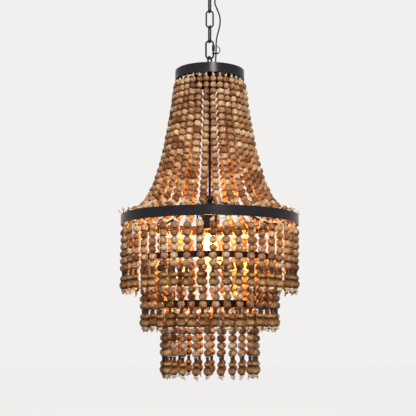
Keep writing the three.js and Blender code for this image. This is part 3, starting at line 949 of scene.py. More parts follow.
@dataclass(frozen=True)
class TierPlan:
    """A tier of hanging strands: its groups, the strands of each, and the lugs beside a group's middle."""

    band: BandSize
    radius: float
    groups: int
    strands: int
    phase: float
    lug_at: float
    tie_height: float = 0.008

    def offsets(self) -> list[float]:
        """Angles of a group's strands from its middle, in degrees."""
        pitch = 360 / (self.groups * self.strands)
        return [(i - (self.strands - 1) / 2) * pitch for i in range(self.strands)]

    def middle(self, group: int) -> float:
        """Angle of a group's middle, in degrees."""
        return self.phase + group * 360 / self.groups

    def tie_radius(self) -> float:
        """Distance of the tie wire from the axis."""
        return self.radius * sum(math.cos(math.radians(a)) for a in self.offsets()) / self.strands

    def tie_level(self) -> float:
        """Height of the tie wire."""
        return self.band.bottom + self.tie_height


class Tier(Enum):
    """The three tiers of hanging strands."""

    MAIN = TierPlan(MAIN_BAND, 0.201, 9, 5, 0.0, 12.0)
    MIDDLE = TierPlan(MIDDLE_BAND, 0.154, 9, 4, 0.0, 10.0)
    BOTTOM = TierPlan(BOTTOM_BAND, 0.107, 6, 4, -10.0, 15.0)


@dataclass
class BeadKit:
    """The turned and knotted patterns that every strand is made of."""

    seed: int = 11
    bead_radius: float = 0.009
    bead_pitch: float = 0.0165
    rope_radius: float = 0.0016
    yarn_radius: float = 0.0013
    tail_radius: float = 0.00145

    def __post_init__(self) -> None:
        """Models each pattern once."""
        self.luck = random.Random(self.seed)
        self.bead = Pattern(self._bead())
        # A bead's ends, where it meets its neighbours, are darkened: painted shade between the beads.
        self._keep_shade_and_scorch(self.bead.original, ((0.0, 0.0062),), 0.0034)
        self.finial = Pattern(self._finial())
        # A finial's neck, groove and bulge ends are scorched dark, and two belts stay pale.
        self._keep_shade_and_scorch(self.finial.original, ((-0.0163, 0.0026), (-0.0320, 0.0048)), 0.0028)
        self.knot = Pattern(self._knot())
        self.fray = Pattern(self._fray())
        self.cordage = Pattern(self._cordage())
        self.tail = Pattern(self._tail())
        self.placed: dict[str, list[Piece]] = {"beads": [], "finials": [], "ropes": []}

    def collect(self) -> dict[str, list[Piece]]:
        """Hands over what was placed since the last call, and starts again.

        Returns:
            The beads, the finials and the ropes with their knots and ends.
        """
        placed = self.placed
        self.placed = {kind: [] for kind in placed}
        return placed

    def _bead(self) -> Piece:
        """A bead, a ball a little flattened and countersunk at its hole.

        Returns:
            The bead about the origin.
        """
        bpy.ops.mesh.primitive_uv_sphere_add(segments=12, ring_count=6, radius=self.bead_radius)
        piece = settle(bpy.context.object, "bead")
        for latitude, girth, rise in ((90, 1.0, 0.78), (60, 0.91, 1.0), (30, 0.98, 1.05)):
            height = self.bead_radius * math.sin(math.radians(latitude))
            pick(piece, lambda co, height=height: abs(abs(co.z) - height) < 1e-5)
            bpy.ops.transform.resize(value=(girth, girth, rise), center_override=(0, 0, 0))
            close_edit()
        return smooth(piece, 60)

    @staticmethod
    def _finial() -> Piece:
        """A turned finial that hangs from the origin: neck, small bulge, groove and large bulge.

        Returns:
            The finial.
        """
        outline = rings(0, (3.0, -40.6), (5.6, -38.6), (8.4, -34.8), (9.4, -31.0), (8.9, -26.8), (6.6, -23.4),
                        (5.2, -22.2), (6.4, -20.8), (8.0, -17.2), (7.8, -14.2), (5.6, -11.6), (3.7, -9.6),
                        (3.4, -4.2), (4.8, -0.6))
        return smooth(turned("finial", outline, 12), 50)

    @staticmethod
    def _keep_shade_and_scorch(piece: Piece, belts: Sequence[tuple[float, float]], fade: float) -> None:
        """Keeps how dark each place of a turned piece is marked: painted shade at a bead's ends, real
        scorching on a finial.

        Args:
            piece: The turned piece.
            belts: Height and half width of each belt that stays pale.
            fade: The height over which a belt's edge fades.
        """
        heights = np.array([v.co.z for v in piece.data.vertices])
        pale = [np.clip((half - np.abs(heights - level)) / fade + 0.5, 0.0, 1.0) for level, half in belts]
        keep_on(piece, "shade_and_scorch", (1.0 - np.max(pale, axis=0)).astype(np.float32))

    def _knot(self) -> Piece:
        """An overhand knot: two crossed turns of rope round the strand.

        Returns:
            The knot about the origin.
        """
        turns = [torus("knot", 0.0021, self.rope_radius, turn=(math.radians(tilt), 0, 0), steps=(9, 5))
                 for tilt in (28, -28)]
        return smooth(merge(turns, "knot"), 80)

    def _fray(self) -> Piece:
        """A rope's cut end: a bent stub down from the origin that opens into three loose yarns.

        Returns:
            The frayed end.
        """
        yarns = []
        for across, aside in ((0.0022, 0.0), (-0.001, 0.0019), (-0.001, -0.0017)):
            bpy.ops.mesh.primitive_circle_add(vertices=5, radius=self.yarn_radius, fill_type="NGON",
                                              location=(across * 0.4, aside * 0.4, 0.0012))
            yarn = settle(bpy.context.object, "yarn")
            open_edit()
            for step in ((0.0005, 0, -0.0034), (0.001, 0, -0.0038), (0.0009 + across, aside, -0.0034)):
                bpy.ops.mesh.extrude_region_move(TRANSFORM_OT_translate={"value": step})
            bpy.ops.transform.resize(value=(0.62, 0.62, 1))
            close_edit()
            yarns.append(face_outwards(yarn))
        return smooth(merge(yarns, "fray"), 80)

    def _cordage(self) -> Piece:
        """A metre of rope down from the origin, scaled to length when it is placed."""
        bpy.ops.mesh.primitive_cylinder_add(vertices=6, radius=self.rope_radius, depth=1,
                                            location=(0, 0, -0.5))
        return smooth(settle(bpy.context.object, "cordage"), 80)

    def _tail(self) -> Piece:
        """A loose rope end that lies down from the origin over two beads."""
        line = [mm(x, 0, z) for x, z in (
            (0, 0), (5.6, -2.6), (9.2, -7.4), (9.9, -12.4), (8.5, -18.6), (9.6, -25), (9.8, -29.4),
            (10.6, -33))]
        return smooth(bent_wire("tail", line, self.tail_radius, 6, steps=1), 80)

    def _shift(self) -> Vector:
        """A random shift of the grain."""
        return Vector([self.luck.uniform(-1, 1) for _ in range(3)])

    def _tone(self) -> float:
        """A turned piece's tone: most are tan, some brown or pale."""
        return min(1.0, max(0.0, self.luck.gauss(0.56, 0.26)))

    def _roll(self) -> Matrix:
        """A random turn about a piece's own axis."""
        return Matrix.Rotation(self.luck.uniform(0, math.tau), 4, "Z")

    def place_bead(self, centre: Vector, along: Vector, size: float = 1.0, length: float = 1.0) -> None:
        """Sets a bead on its strand.

        Args:
            centre: The bead's middle.
            along: The strand's direction there.
            size: The bead's girth against the pattern's.
            length: The bead's length against the pattern's.
        """
        luck = self.luck
        roll = self._roll()
        lean = Matrix.Rotation(math.radians(luck.gauss(0, 4)), 4, "X")
        girth = size * luck.uniform(0.94, 1.03)
        shape = Matrix.Diagonal((girth, girth, length * luck.uniform(0.97, 1.01), 1))
        drift = Vector((luck.gauss(0, 0.00035), luck.gauss(0, 0.00035), 0))
        place = Matrix.Translation(centre + drift) @ facing(along) @ lean @ roll @ shape
        self.placed["beads"].append(self.bead.copy(place, self._tone(), self._shift()))

    def place_finial(self, top: Vector) -> None:
        """Hangs a finial under the last bead.

        Args:
            top: The finial's upper end.
        """
        roll = self._roll()
        girth = self.luck.uniform(0.95, 1.02)
        shape = Matrix.Diagonal((girth, girth, self.luck.uniform(0.97, 1.02), 1))
        place = Matrix.Translation(top) @ roll @ shape
        self.placed["finials"].append(self.finial.copy(place, self._tone(), self._shift()))

    def _place_end(self, pattern: Pattern, place: Matrix) -> None:
        """Places a knot or a frayed end. Its grain stays unmoved, and the shift is drawn and left.

        Args:
            pattern: The knot or the frayed end.
            place: Where it goes.
        """
        tone = self.luck.random()
        self._shift()
        self.placed["ropes"].append(pattern.copy(place, tone))

    def place_knot(self, centre: Vector, along: Vector, size: float = 1.0) -> None:
        """Ties a knot of a size, against the pattern's, round a strand."""
        place = Matrix.Translation(centre) @ facing(along) @ self._roll()
        self._place_end(self.knot, place @ Matrix.Scale(size * self.luck.uniform(0.9, 1.1), 4))

    def place_fray(self, start: Vector, along: Vector, size: float = 1.0) -> None:
        """Lets a rope's end fray.

        Args:
            start: Where it leaves its knot.
            along: The direction that it takes.
            size: Its size against the pattern's.
        """
        place = Matrix.Translation(start) @ facing(-along) @ self._roll()
        girth, reach = size * self.luck.uniform(0.8, 1.15), size * self.luck.uniform(0.8, 1.25)
        self._place_end(self.fray, place @ Matrix.Diagonal((girth, girth, reach, 1)))

    def place_tail(self, start: Vector, along: Vector) -> None:
        """Lays a loose rope end over the beads from a knot along a direction, on any side."""
        place = Matrix.Translation(start) @ facing(-along) @ self._roll()
        place = place @ Matrix.Diagonal((1, 1, self.luck.uniform(0.45, 0.95), 1))
        self.placed["ropes"].append(self.tail.copy(place, self.luck.random()))

    def place_rope(self, start: Vector, end: Vector, girth: float = 1.0) -> None:
        """Runs a straight stretch of rope.

        Args:
            start: Its upper end.
            end: Its lower end.
            girth: Its girth against the pattern's.
        """
        along = end - start
        place = Matrix.Translation(start) @ facing(-along) @ Matrix.Diagonal((girth, girth, along.length, 1))
        piece = self.cordage.copy(place, self.luck.random(), stretch=(1, 1, along.length))
        self.placed["ropes"].append(piece)

    def retire(self) -> None:
        """Removes the patterns."""
        for pattern in (self.bead, self.finial, self.knot, self.fray, self.cordage, self.tail):
            pattern.retire()


@dataclass
class Assembly:
    """A sub-assembly, dressed in the chandelier's finishes."""

    finishes: Finishes


@dataclass
class HangingTier(Assembly):
    """One tier of hanging strands, group by group, each laced to its tie wire."""

    tier: Tier
    kit: BeadKit
    beads: int = 6
    first_bead_drop: float = 0.011
    finial_length: float = 0.041
    tail_drop: float = 0.0022
    tie_radius: float = 0.0016
    tie_inset: float = 0.0004
    leg_spread: float = 0.0028
    leg_girth: float = 0.8
    sway: float = 0.0012
    loose_share: float = 0.4
    forked_share: float = 0.6

    def build(self) -> None:
        """Builds every group of the tier."""
        for group in range(self.tier.value.groups):
            self._group(f"{self.tier.name.lower()}_strands_{group + 1}", self.tier.value.middle(group))

    def _group(self, name: str, middle: float) -> None:
        """Builds a group's beads, finials, ropes and tie wire.

        Args:
            name: The group's node and body.
            middle: Angle of its middle, in degrees.
        """
        plan, looks = self.tier.value, self.finishes
        for offset in plan.offsets():
            self._strand(around(middle + offset, plan.radius, 0.0), middle + offset)
        half = plan.radius * math.sin(math.radians(plan.offsets()[-1])) - self.tie_inset
        centre = around(middle, plan.tie_radius(), plan.tie_level())
        side = around(middle + 90, half, 0.0)
        tie = smooth(rod(f"{name}_tie", centre - side, centre + side, self.tie_radius, 12, 0.0005))
        kinds = {"beads": looks.wood, "finials": looks.scorched, "ropes": looks.rope}
        for kind, parts in self.kit.collect().items():
            seat(merge(parts, f"{name}_{kind}"), name, kinds[kind], name)
        seat(tie, name, looks.zinc, name)

    def _strand(self, foot: Vector, angle: float) -> None:
        """Threads one strand.

        Args:
            foot: The strand's place on the floor plan.
            angle: Its angle in degrees.
        """
        kit, luck, plan = self.kit, self.kit.luck, self.tier.value
        first = plan.band.bottom - self.first_bead_drop + luck.uniform(-0.0012, 0.0016)
        sway = Vector((luck.gauss(0, self.sway), luck.gauss(0, self.sway), 0))

        def under(height: float, share: float = 0.0) -> Vector:
            """The strand's point at a height, a share of its sway to the side."""
            return foot + sway * share + Vector((0, 0, height))

        for i in range(self.beads):
            kit.place_bead(under(first - (i + 0.5) * kit.bead_pitch, i / self.beads), DOWN)
        last = first - self.beads * kit.bead_pitch
        kit.place_finial(under(last, 1))
        knot = under(plan.band.bottom - luck.uniform(0.0045, 0.0075))
        aside = around(angle + 90, self.leg_spread, 0.0)
        for leg in (-1, 1):
            end = under(plan.tie_level()) + leg * aside
            kit.place_rope(end, knot, self.leg_girth)
            kit.place_knot(end, aside, 0.9)
        kit.place_rope(knot, under(last, 1))
        kit.place_knot(knot, DOWN, 1.2)
        lean = around(angle + luck.choice((-1, 1)) * luck.uniform(50, 110), 1.0, luck.uniform(-1.5, -0.25))
        kit.place_fray(knot, lean.normalized(), luck.uniform(0.7, 1.1))
        for _ in range(luck.choice((0, 0, 1, 1))):
            kit.place_tail(knot, DOWN)
        if luck.random() < self.loose_share:
            turn = angle + luck.choice((-1, 1)) * 90
            reach = around(turn, luck.uniform(0.012, 0.02), luck.uniform(-0.005, 0.001))
            kit.place_rope(knot, knot + reach, 0.85)
        tail = under(last - self.finial_length - self.tail_drop, 1)
        kit.place_knot(tail, DOWN, 1.35)
        kit.place_fray(tail, (DOWN + around(luck.uniform(0, 360), 0.6, 0)).normalized(), 0.85)
        if luck.random() < self.forked_share:
            lean = around(luck.uniform(0, 360), 1, luck.uniform(-0.8, 0.1)).normalized()
            kit.place_fray(tail, lean, luck.uniform(0.6, 0.95))


@dataclass
class UpperStrands(Assembly):
    """The slack strands from the top band to the main band."""

    kit: BeadKit
    groups: int = 4
    strands: int = 8
    top_radius: float = 0.080
    stagger: float = 0.0006
    hang_drop: float = 0.0085
    end_radius: float = 0.199
    end_rise: float = 0.005
    level_inset: float = 0.0055
    small_girth: float = 0.83
    small_length: float = 0.93
    graded_share: float = 0.45
    top_knot_drop: float = 0.0058
    top_leg_inset: float = 0.0026
    top_leg_rise: float = 0.002
    top_leg_spread: float = 2.0
    top_loose_share: float = 0.4
    foot_knot_radius: float = 0.2045
    foot_loose_radius: float = 0.202
    foot_loose_rise: float = 0.006
    foot_loose_share: float = 0.35
    foot_tail_share: float = 0.55
    end_stretch: float = 0.004
    tail_stretch: float = 0.03

    def build(self) -> None:
        """Builds every group."""
        pitch = 360 / (self.groups * self.strands)
        for group in range(self.groups):
            for i in range(self.strands):
                angle = group * 360 / self.groups + (i - (self.strands - 1) / 2) * pitch
                self._strand(angle, 1 if i % 2 else -1)
            name = f"upper_strands_{group + 1}"
            placed = self.kit.collect()
            seat(merge(placed["beads"], f"{name}_beads"), "frame", self.finishes.wood, name)
            seat(merge(placed["ropes"], f"{name}_ropes"), "frame", self.finishes.rope, name)

    def curve(self, start: tuple[float, float], end: tuple[float, float], steps: int = 400) -> Outline:
        """A slack strand's line, as a hanging chain's.

        Args:
            start: Radius and height of its upper end.
            end: Radius and height of its lower end.
            steps: Number of steps along it.

        Returns:
            Radius and height of each point, from the top.
        """
        level = self.end_radius - self.level_inset
        fall = start[1] - end[1]
        low, high = (level - start[0]) * 0.1, level
        for _ in range(60):
            size = (low + high) / 2
            drop = size * (math.cosh((level - start[0]) / size) - math.cosh((level - end[0]) / size))
            low, high = (size, high) if drop > fall else (low, size)
        base = end[1] - low * math.cosh((level - end[0]) / low)
        first, last = (level - start[0]) / low, (level - end[0]) / low
        turns = [first + (last - first) * i / steps for i in range(steps + 1)]
        return [(level - low * turn, base + low * math.cosh(turn)) for turn in turns]

    def _strand(self, angle: float, side: int) -> None:
        """Threads one strand.

        Args:
            angle: The strand's angle in degrees.
            side: 1 for a strand that hangs further out at the top, -1 for one further in.
        """
        kit, luck = self.kit, self.kit.luck
        start = (self.top_radius + side * self.stagger, TOP_BAND.bottom - self.hang_drop)
        end = (self.end_radius, MAIN_BAND.top + self.end_rise)
        line = [around(angle, radius, height) for radius, height in self.curve(start, end)]
        steps = [0.0]
        for before, after in zip(line, line[1:]):
            steps.append(steps[-1] + (after - before).length)
        total = steps[-1]
        graded = self.graded_share * total

        def at(distance: float) -> tuple[Vector, Vector]:
            """The point and the direction at a distance along the strand.

            Args:
                distance: The distance from its upper end.

            Returns:
                The point and the direction.
            """
            place = min(max(distance, 0.0), total)
            i = max(min(int(np.searchsorted(steps, place)), len(line) - 1), 1)
            share = (place - steps[i - 1]) / max(steps[i] - steps[i - 1], 1e-9)
            return line[i - 1].lerp(line[i], share), (line[i] - line[i - 1]).normalized()

        lengths = []
        while sum(lengths) < total / kit.bead_pitch - 0.5:
            grown = min(1.0, sum(lengths) * kit.bead_pitch / graded)
            lengths.append((self.small_length + (1 - self.small_length) * grown) * luck.uniform(0.97, 1.02))
        fill = total / kit.bead_pitch / sum(lengths)
        done = 0.0
        centres = []
        for length in lengths:
            half = length * fill * kit.bead_pitch / 2
            place, along = at(done + half)
            centres.append(place)
            girth = self.small_girth + (1 - self.small_girth) * min(1.0, done / graded)
            kit.place_bead(place, along, girth, length * fill)
            done += 2 * half
        self._top_end(angle, around(angle, start[0], TOP_BAND.bottom - self.top_knot_drop),
                      at(self.end_stretch)[0])
        self._foot_end(angle, *(at(done - back)[0] for back in (0.0, self.end_stretch, self.tail_stretch)))
        for before, after in zip(centres, centres[1:]):
            kit.place_rope(before, after)

    def _top_end(self, angle: float, knot: Vector, below: Vector) -> None:
        """Ties a strand to its staple in the top band.

        Args:
            angle: The strand's angle in degrees.
            knot: Its knot's place.
            below: A point a little down the strand.
        """
        kit, luck = self.kit, self.kit.luck
        inner = TOP_BAND.inner - self.top_leg_inset
        for leg in (-self.top_leg_spread, self.top_leg_spread):
            kit.place_rope(around(angle + leg, inner, TOP_BAND.bottom + self.top_leg_rise), knot, 0.7)
        kit.place_rope(knot, below, 0.9)
        kit.place_knot(knot, DOWN, 0.85)
        if luck.random() < self.top_loose_share:
            beside = around(angle + luck.choice((-1, 1)) * luck.uniform(5, 9), inner, TOP_BAND.bottom - 0.003)
            kit.place_rope(knot, beside, 0.75)
        lean = around(angle + luck.uniform(-100, 100), 1, -0.2).normalized()
        kit.place_fray(knot, lean, 0.45)

    def _foot_end(self, angle: float, foot: Vector, above: Vector, over: Vector) -> None:
        """Ties a strand to its staple in the main band.

        Args:
            angle: The strand's angle in degrees.
            foot: The strand's lower end.
            above: A point a little up the strand.
            over: The point that a loose end lies towards.
        """
        kit, luck = self.kit, self.kit.luck
        knot = around(angle + luck.uniform(-0.6, 0.6), self.foot_knot_radius,
                      MAIN_BAND.top + luck.uniform(0.001, 0.003))
        kit.place_rope(above, knot)
        kit.place_knot(knot, (knot - foot).normalized(), 1.15)
        for _ in range(luck.choice((1, 1, 2))):
            lean = around(angle + luck.uniform(-75, 75), 1, luck.uniform(0.1, 1.6)).normalized()
            kit.place_fray(knot, lean, luck.uniform(0.9, 1.5))
        if luck.random() < self.foot_tail_share:
            kit.place_tail(knot, (over - knot).normalized())
        if luck.random() < self.foot_loose_share:
            beside = around(angle + luck.choice((-1, 1)) * luck.uniform(3, 6), self.foot_loose_radius,
                            MAIN_BAND.top + self.foot_loose_rise)
            kit.place_rope(knot, beside, 0.9)


@dataclass
class Bands(Assembly):
    """The four steel bands with their lugs, staples and weld seams."""

    ease: float = 0.0004
    lug_width: float = 0.005
    lug_height: float = 0.003
    lug_drop: float = 0.0025
    lug_overlap: float = 0.0022
    lug_ease: float = 0.0006
    staples: int = 32
    staple_wire: float = 0.0008
    seam_radius: float = 0.0012
    seam_inset: float = 0.001

    def build(self) -> None:
        """Builds the four bands."""
        self._band("top_band", TOP_BAND, None, (TOP_BAND.bottom, 1))
        self._band("main_band", MAIN_BAND, Tier.MAIN.value, (MAIN_BAND.top, -1))
        self._band("middle_band", MIDDLE_BAND, Tier.MIDDLE.value)
        self._band("bottom_band", BOTTOM_BAND, Tier.BOTTOM.value)

    def _hoop(self, name: str, size: BandSize) -> Piece:
        """Rolls a flat bar into a hoop with eased edges, and marks its inner face.

        Args:
            name: The hoop's name.
            size: The band's sizes.

        Returns:
            The hoop.
        """
        section = washer(size.inner, size.radius, size.bottom, size.top)
        hoop = rounded(turned(name, section, 160, closed=True), self.ease, 2, 60)
        middle = (size.inner + size.radius) / 2
        # The inner face is marked for the coat's painted lamp light.
        keep_on(hoop, "inside", [float(math.hypot(v.co.x, v.co.y) < middle) for v in hoop.data.vertices])
        return hoop

    def _lugs(self, plan: TierPlan) -> list[Piece]:
        """The lugs that hold a tier's tie wires, two to a group.

        Args:
            plan: The tier.

        Returns:
            The lugs.
        """
        lugs = []
        reach = plan.tie_radius() / math.cos(math.radians(plan.lug_at)) - self.lug_overlap
        middle = (reach + plan.band.inner) / 2 + GAP
        size = (plan.band.inner - reach + 2 * GAP, self.lug_width, self.lug_height)
        for group in range(plan.groups):
            for side in (-1, 1):
                level = plan.tie_level() - self.lug_drop - self.lug_height / 2
                lug = block("lug", (middle, 0, level), size, self.lug_ease)
                lugs.append(spun_about_z(lug, plan.middle(group) + side * plan.lug_at))
        return lugs

    def _staples(self, radius: float, edge: float, sign: int) -> list[Piece]:
        """The staples that the upper strands are tied to.

        Args:
            radius: Distance of their wire from the axis.
            edge: Height of the band's edge that they stand at.
            sign: 1 where they hang under the band, -1 where they stand on it.

        Returns:
            The staples.
        """
        route = [(radius, across * MM, edge + sign * rise * MM) for across, rise in
                 ((-2.6, 4.0), (-2.4, -2.2), (0, -4.2), (2.4, -2.2), (2.6, 4.0))]
        return [spun_about_z(bent_wire("staple", route, self.staple_wire, 6, steps=2),
                             (i + 0.5) * 360 / self.staples) for i in range(self.staples)]

    def _band(self, name: str, size: BandSize, plan: Optional[TierPlan],
              stapled: Optional[tuple[float, int]] = None) -> None:
        """Builds a band with what is welded to it.

        Args:
            name: The node's name.
            size: The band's sizes.
            plan: The tier that hangs in it, or None for the top band.
            stapled: Height and sign of the stapled edge, if it has one.
        """
        parts = [self._hoop(name, size)]
        if plan:
            parts += self._lugs(plan)
        if stapled:
            parts += self._staples(size.inner - 0.0005, *stapled)
        foot, head = (Vector((0, size.inner, level)) for level in
                      (size.bottom + self.seam_inset, size.top - self.seam_inset))
        parts.append(rod("seam", foot, head, self.seam_radius, 8, 0.0004))
        seat(smooth(merge(parts, f"{name}_steel"), 20), "frame", self.finishes.steel, name)


@dataclass
class Spider(Assembly):
    """The hub with its arms and hanger rods, the stem and its nuts."""

    hub_radius: float = 0.015
    hub_height: float = 0.012
    hub_bore: float = 0.0035
    arms: int = 3
    arm_radius: float = 0.0025
    arm_root: float = 0.0125
    bend_radius: float = 0.150
    rod_radius: float = 0.002
    weld_radius: float = 0.0031
    stem_radius: float = 0.00325
    nut_bore: float = 0.00352
    nut_radius: float = 0.0075
    phase: float = 20.0
    flat_share: float = math.cos(math.pi / 36)
    stem: tuple[float, float] = (-0.58405, -0.27025)
    nuts: tuple = (("coupling_nut", -0.28195, -0.25795), ("stem_nut", -0.57595, -0.57095))
    arm_bends: tuple = ((0.06, 0.346), (0.135, 0.891))

    def build(self) -> None:
        """Builds the spider, the stem, the coupling nut and the hub's nut."""
        low = HEIGHTS.hub_bottom
        high = low + self.hub_height
        hub = turned("hub", washer(self.hub_bore, self.hub_radius, low, high), 48, closed=True)
        parts = [rounded(hub, 0.0008, 3, 60)]
        for i in range(self.arms):
            parts += [spun_about_z(part, self.phase + i * 360 / self.arms)
                      for part in self._arm((low + high) / 2, MAIN_BAND.top - MAIN_BAND.height / 2)]
        seat(smooth(merge(parts, "spider_steel"), 50), "frame", self.finishes.steel, "spider")
        stem = rod("stem_rod", *(Vector((0, 0, end)) for end in self.stem), self.stem_radius, 24, 0.0006)
        seat(smooth(stem), "frame", self.finishes.zinc, "stem")
        for name, low, high in self.nuts:
            nut = turned(f"{name}_hex", washer(self.nut_bore, self.nut_radius, low, high), 6, closed=True)
            seat(smooth(rounded(nut, 0.0006, 2, 50)), "frame", self.finishes.zinc, name)

    def _arm(self, root: float, level: float) -> list[Piece]:
        """An arm along X with its two hanger rods and their welds.

        Args:
            root: Height of the arm at the hub.
            level: Height of the arm at the main band.

        Returns:
            The pieces.
        """
        rise = level - root
        route = [(self.arm_root, 0, root),
                 *((place, 0, root + rise * share) for place, share in self.arm_bends),
                 (self.bend_radius, 0, level - 0.0002), (0.165, 0, level),
                 (MAIN_BAND.inner - 0.0004, 0, level)]
        parts = [bent_wire("arm", route, self.arm_radius, 12)]
        for size in (MIDDLE_BAND, BOTTOM_BAND):
            place = size.inner * self.flat_share - GAP - self.rod_radius
            share = min(1.0, (place - self.arm_root) / (self.bend_radius - self.arm_root))
            top = root + rise * share
            parts.append(rod("hanger", Vector((place, 0, size.bottom + 0.002)), Vector((place, 0, top)),
                             self.rod_radius, 12, 0.0006))
            for height in (top, size.bottom + size.height / 2):
                bpy.ops.mesh.primitive_uv_sphere_add(segments=12, ring_count=8, radius=self.weld_radius,
                                                     location=(place, 0, height), scale=(1, 1, 1.2))
                parts.append(settle(bpy.context.object, "weld"))
        return parts


@dataclass(frozen=True)
class LinkSize:
    """A link: its length and width over bare wire, and the wire's radius, bare and coated."""

    length: float
    width: float
    wire: float
    coated: float

    @property
    def leg(self) -> float:
        """Distance of a leg's middle from the link's."""
        return self.width / 2 - self.wire

    def bend(self, name: str, top: float) -> Piece:
        """Bends a ring of wire into an oval link in the XZ plane.

        Args:
            name: The piece's name.
            top: Height of the top wire's centre.

        Returns:
            The link.
        """
        piece = torus(name, self.leg, self.coated)
        pick(piece, lambda co: co.z < -1e-6)
        bpy.ops.transform.translate(value=(0, 0, self.width - self.length))
        close_edit()
        return moved(piece, z=top - self.leg)


@dataclass
class Chain(Assembly):
    """The chain's welded links, the screw-lock link, the cable tie and the hanging eye."""

    link: LinkSize = LinkSize(0.045, 0.020, 0.0017, 0.00195)
    links: tuple = (
        ("upper_link", -0.06625, 105), ("middle_link", -0.10385, 0), ("lower_link", -0.14145, 105))
    screw: LinkSize = LinkSize(0.049, 0.022, 0.002, 0.0022)
    screw_top: float = -0.17875
    nut_rise: float = 0.004
    thread_radius: float = 0.00022
    tie_height: float = -0.21025
    cord_x: float = 0.0153
    strap_reach: float = 0.003
    eye_radius: float = 0.009
    eye_wire: float = 0.00225
    eye_height: float = -0.2279
    eye_turn: float = 62.0

    def build(self) -> None:
        """Builds the chain from the top down."""
        for i, (body, top, angle) in enumerate(self.links):
            link = spun_about_z(self._link(f"link_{i + 1}", top), angle)
            seat(link, body, self.finishes.zinc, f"chain_link_{i + 1}")
        self._screw_link()
        self._cable_tie()
        self._eye()

    def _link(self, name: str, top: float) -> Piece:
        """A welded link, its weld a low collar on one leg.

        Args:
            name: The link's name.
            top: Height of its top wire's centre.

        Returns:
            The link.
        """
        middle = top + self.link.wire - self.link.length / 2
        collar = [(self.link.coated * girth, middle + rise * MM) for girth, rise in
                  ((0.9, -1.6), (1.12, -0.8), (1.16, 0), (1.12, 0.8), (0.9, 1.6))]
        weld = moved(turned("weld", collar, 16), self.link.leg)
        return smooth(merge([self.link.bend(name, top), weld], name), 60)

    def _screw_link(self) -> None:
        """The screw-lock link and its sleeve nut, with the thread showing under the nut."""
        screw, zinc = self.screw, self.finishes.zinc
        middle = self.screw_top - screw.length / 2 + screw.wire + self.nut_rise
        parts = [screw.bend("screw_link_wire", self.screw_top)]
        for i in range(5):
            place = (screw.leg, 0, middle - 0.0084 - i * 0.0008)
            parts.append(torus("thread", screw.wire * 0.98, self.thread_radius, place, (0, 0, 0), (20, 6)))
        seat(smooth(merge(parts, "screw_link_wire"), 60), "screw_lock_link", zinc, "screw_link")
        nut = turned("screw_link_sleeve", rings(middle, (2.68, -7), (3.1, -7), (4, -5.8), (4, 5.8), (3.1, 7),
                                                (2.68, 7)), 6, closed=True)
        nut = rounded(moved(nut, screw.leg), 0.00015, 2, 40)
        seat(smooth(nut), "screw_lock_link", zinc, "screw_link_nut")

    def _cable_tie(self) -> None:
        """The cable tie round the cord and the link's leg, its tail bent back in a loop."""
        height, reach = self.tie_height, self.strap_reach
        strap = [(x + reach * math.cos(turn), reach * math.sin(turn), height)
                 for x, start in ((self.cord_x, -90), (self.screw.leg, 90))
                 for turn in (math.radians(start + 15 * i) for i in range(13))]
        loop = bent_wire("tie_strap", strap, 0.0007, 8, closed=True, steps=2)
        pick(loop, lambda co: True)
        bpy.ops.transform.resize(value=(1, 1, 1.7), center_override=(0, 0, height))
        close_edit()
        head_x = self.cord_x + reach + 0.0018
        head = block("tie_head", (head_x, 0, height), (0.0036, 0.0036, 0.0036), 0.0005)
        route = ((0, 0), (3.2, 2.8), (4.6, 7), (3.6, 11.4), (1, 15.2), (-2, 18.4))
        tail = bent_wire("tie_tail", [(head_x + across * MM, -0.0004 * i, height + rise * MM)
                                      for i, (across, rise) in enumerate(route)], 0.0011, 8)
        whole = merge([loop, head, tail], "cable_tie")
        seat(smooth(whole, 50), "screw_lock_link", self.finishes.plastic, "cord_tie")

    def _eye(self) -> None:
        """The hanging eye on its flared collar, with its shank through the top plate."""
        ring = torus("eye_ring", self.eye_radius, self.eye_wire, (0, 0, self.eye_height))
        outline = rings(HEIGHTS.plate_top + GAP, (3.2, -14.3), (3.25, -13.65), (3.25, 0), (7.5, 0),
                        (7.5, 2.2), (6.6, 3.6), (5.6, 8))
        outline += rings(self.eye_height - self.eye_radius, (5, -2), (4.6, 0), (3.6, 1.6))
        collar = rounded(turned("eye_collar", outline, 32), 0.0003, 2, 40)
        eye = spun_about_z(merge([ring, collar], "hanging_eye_steel"), self.eye_turn)
        seat(smooth(eye, 45), "frame", self.finishes.zinc, "hanging_eye")


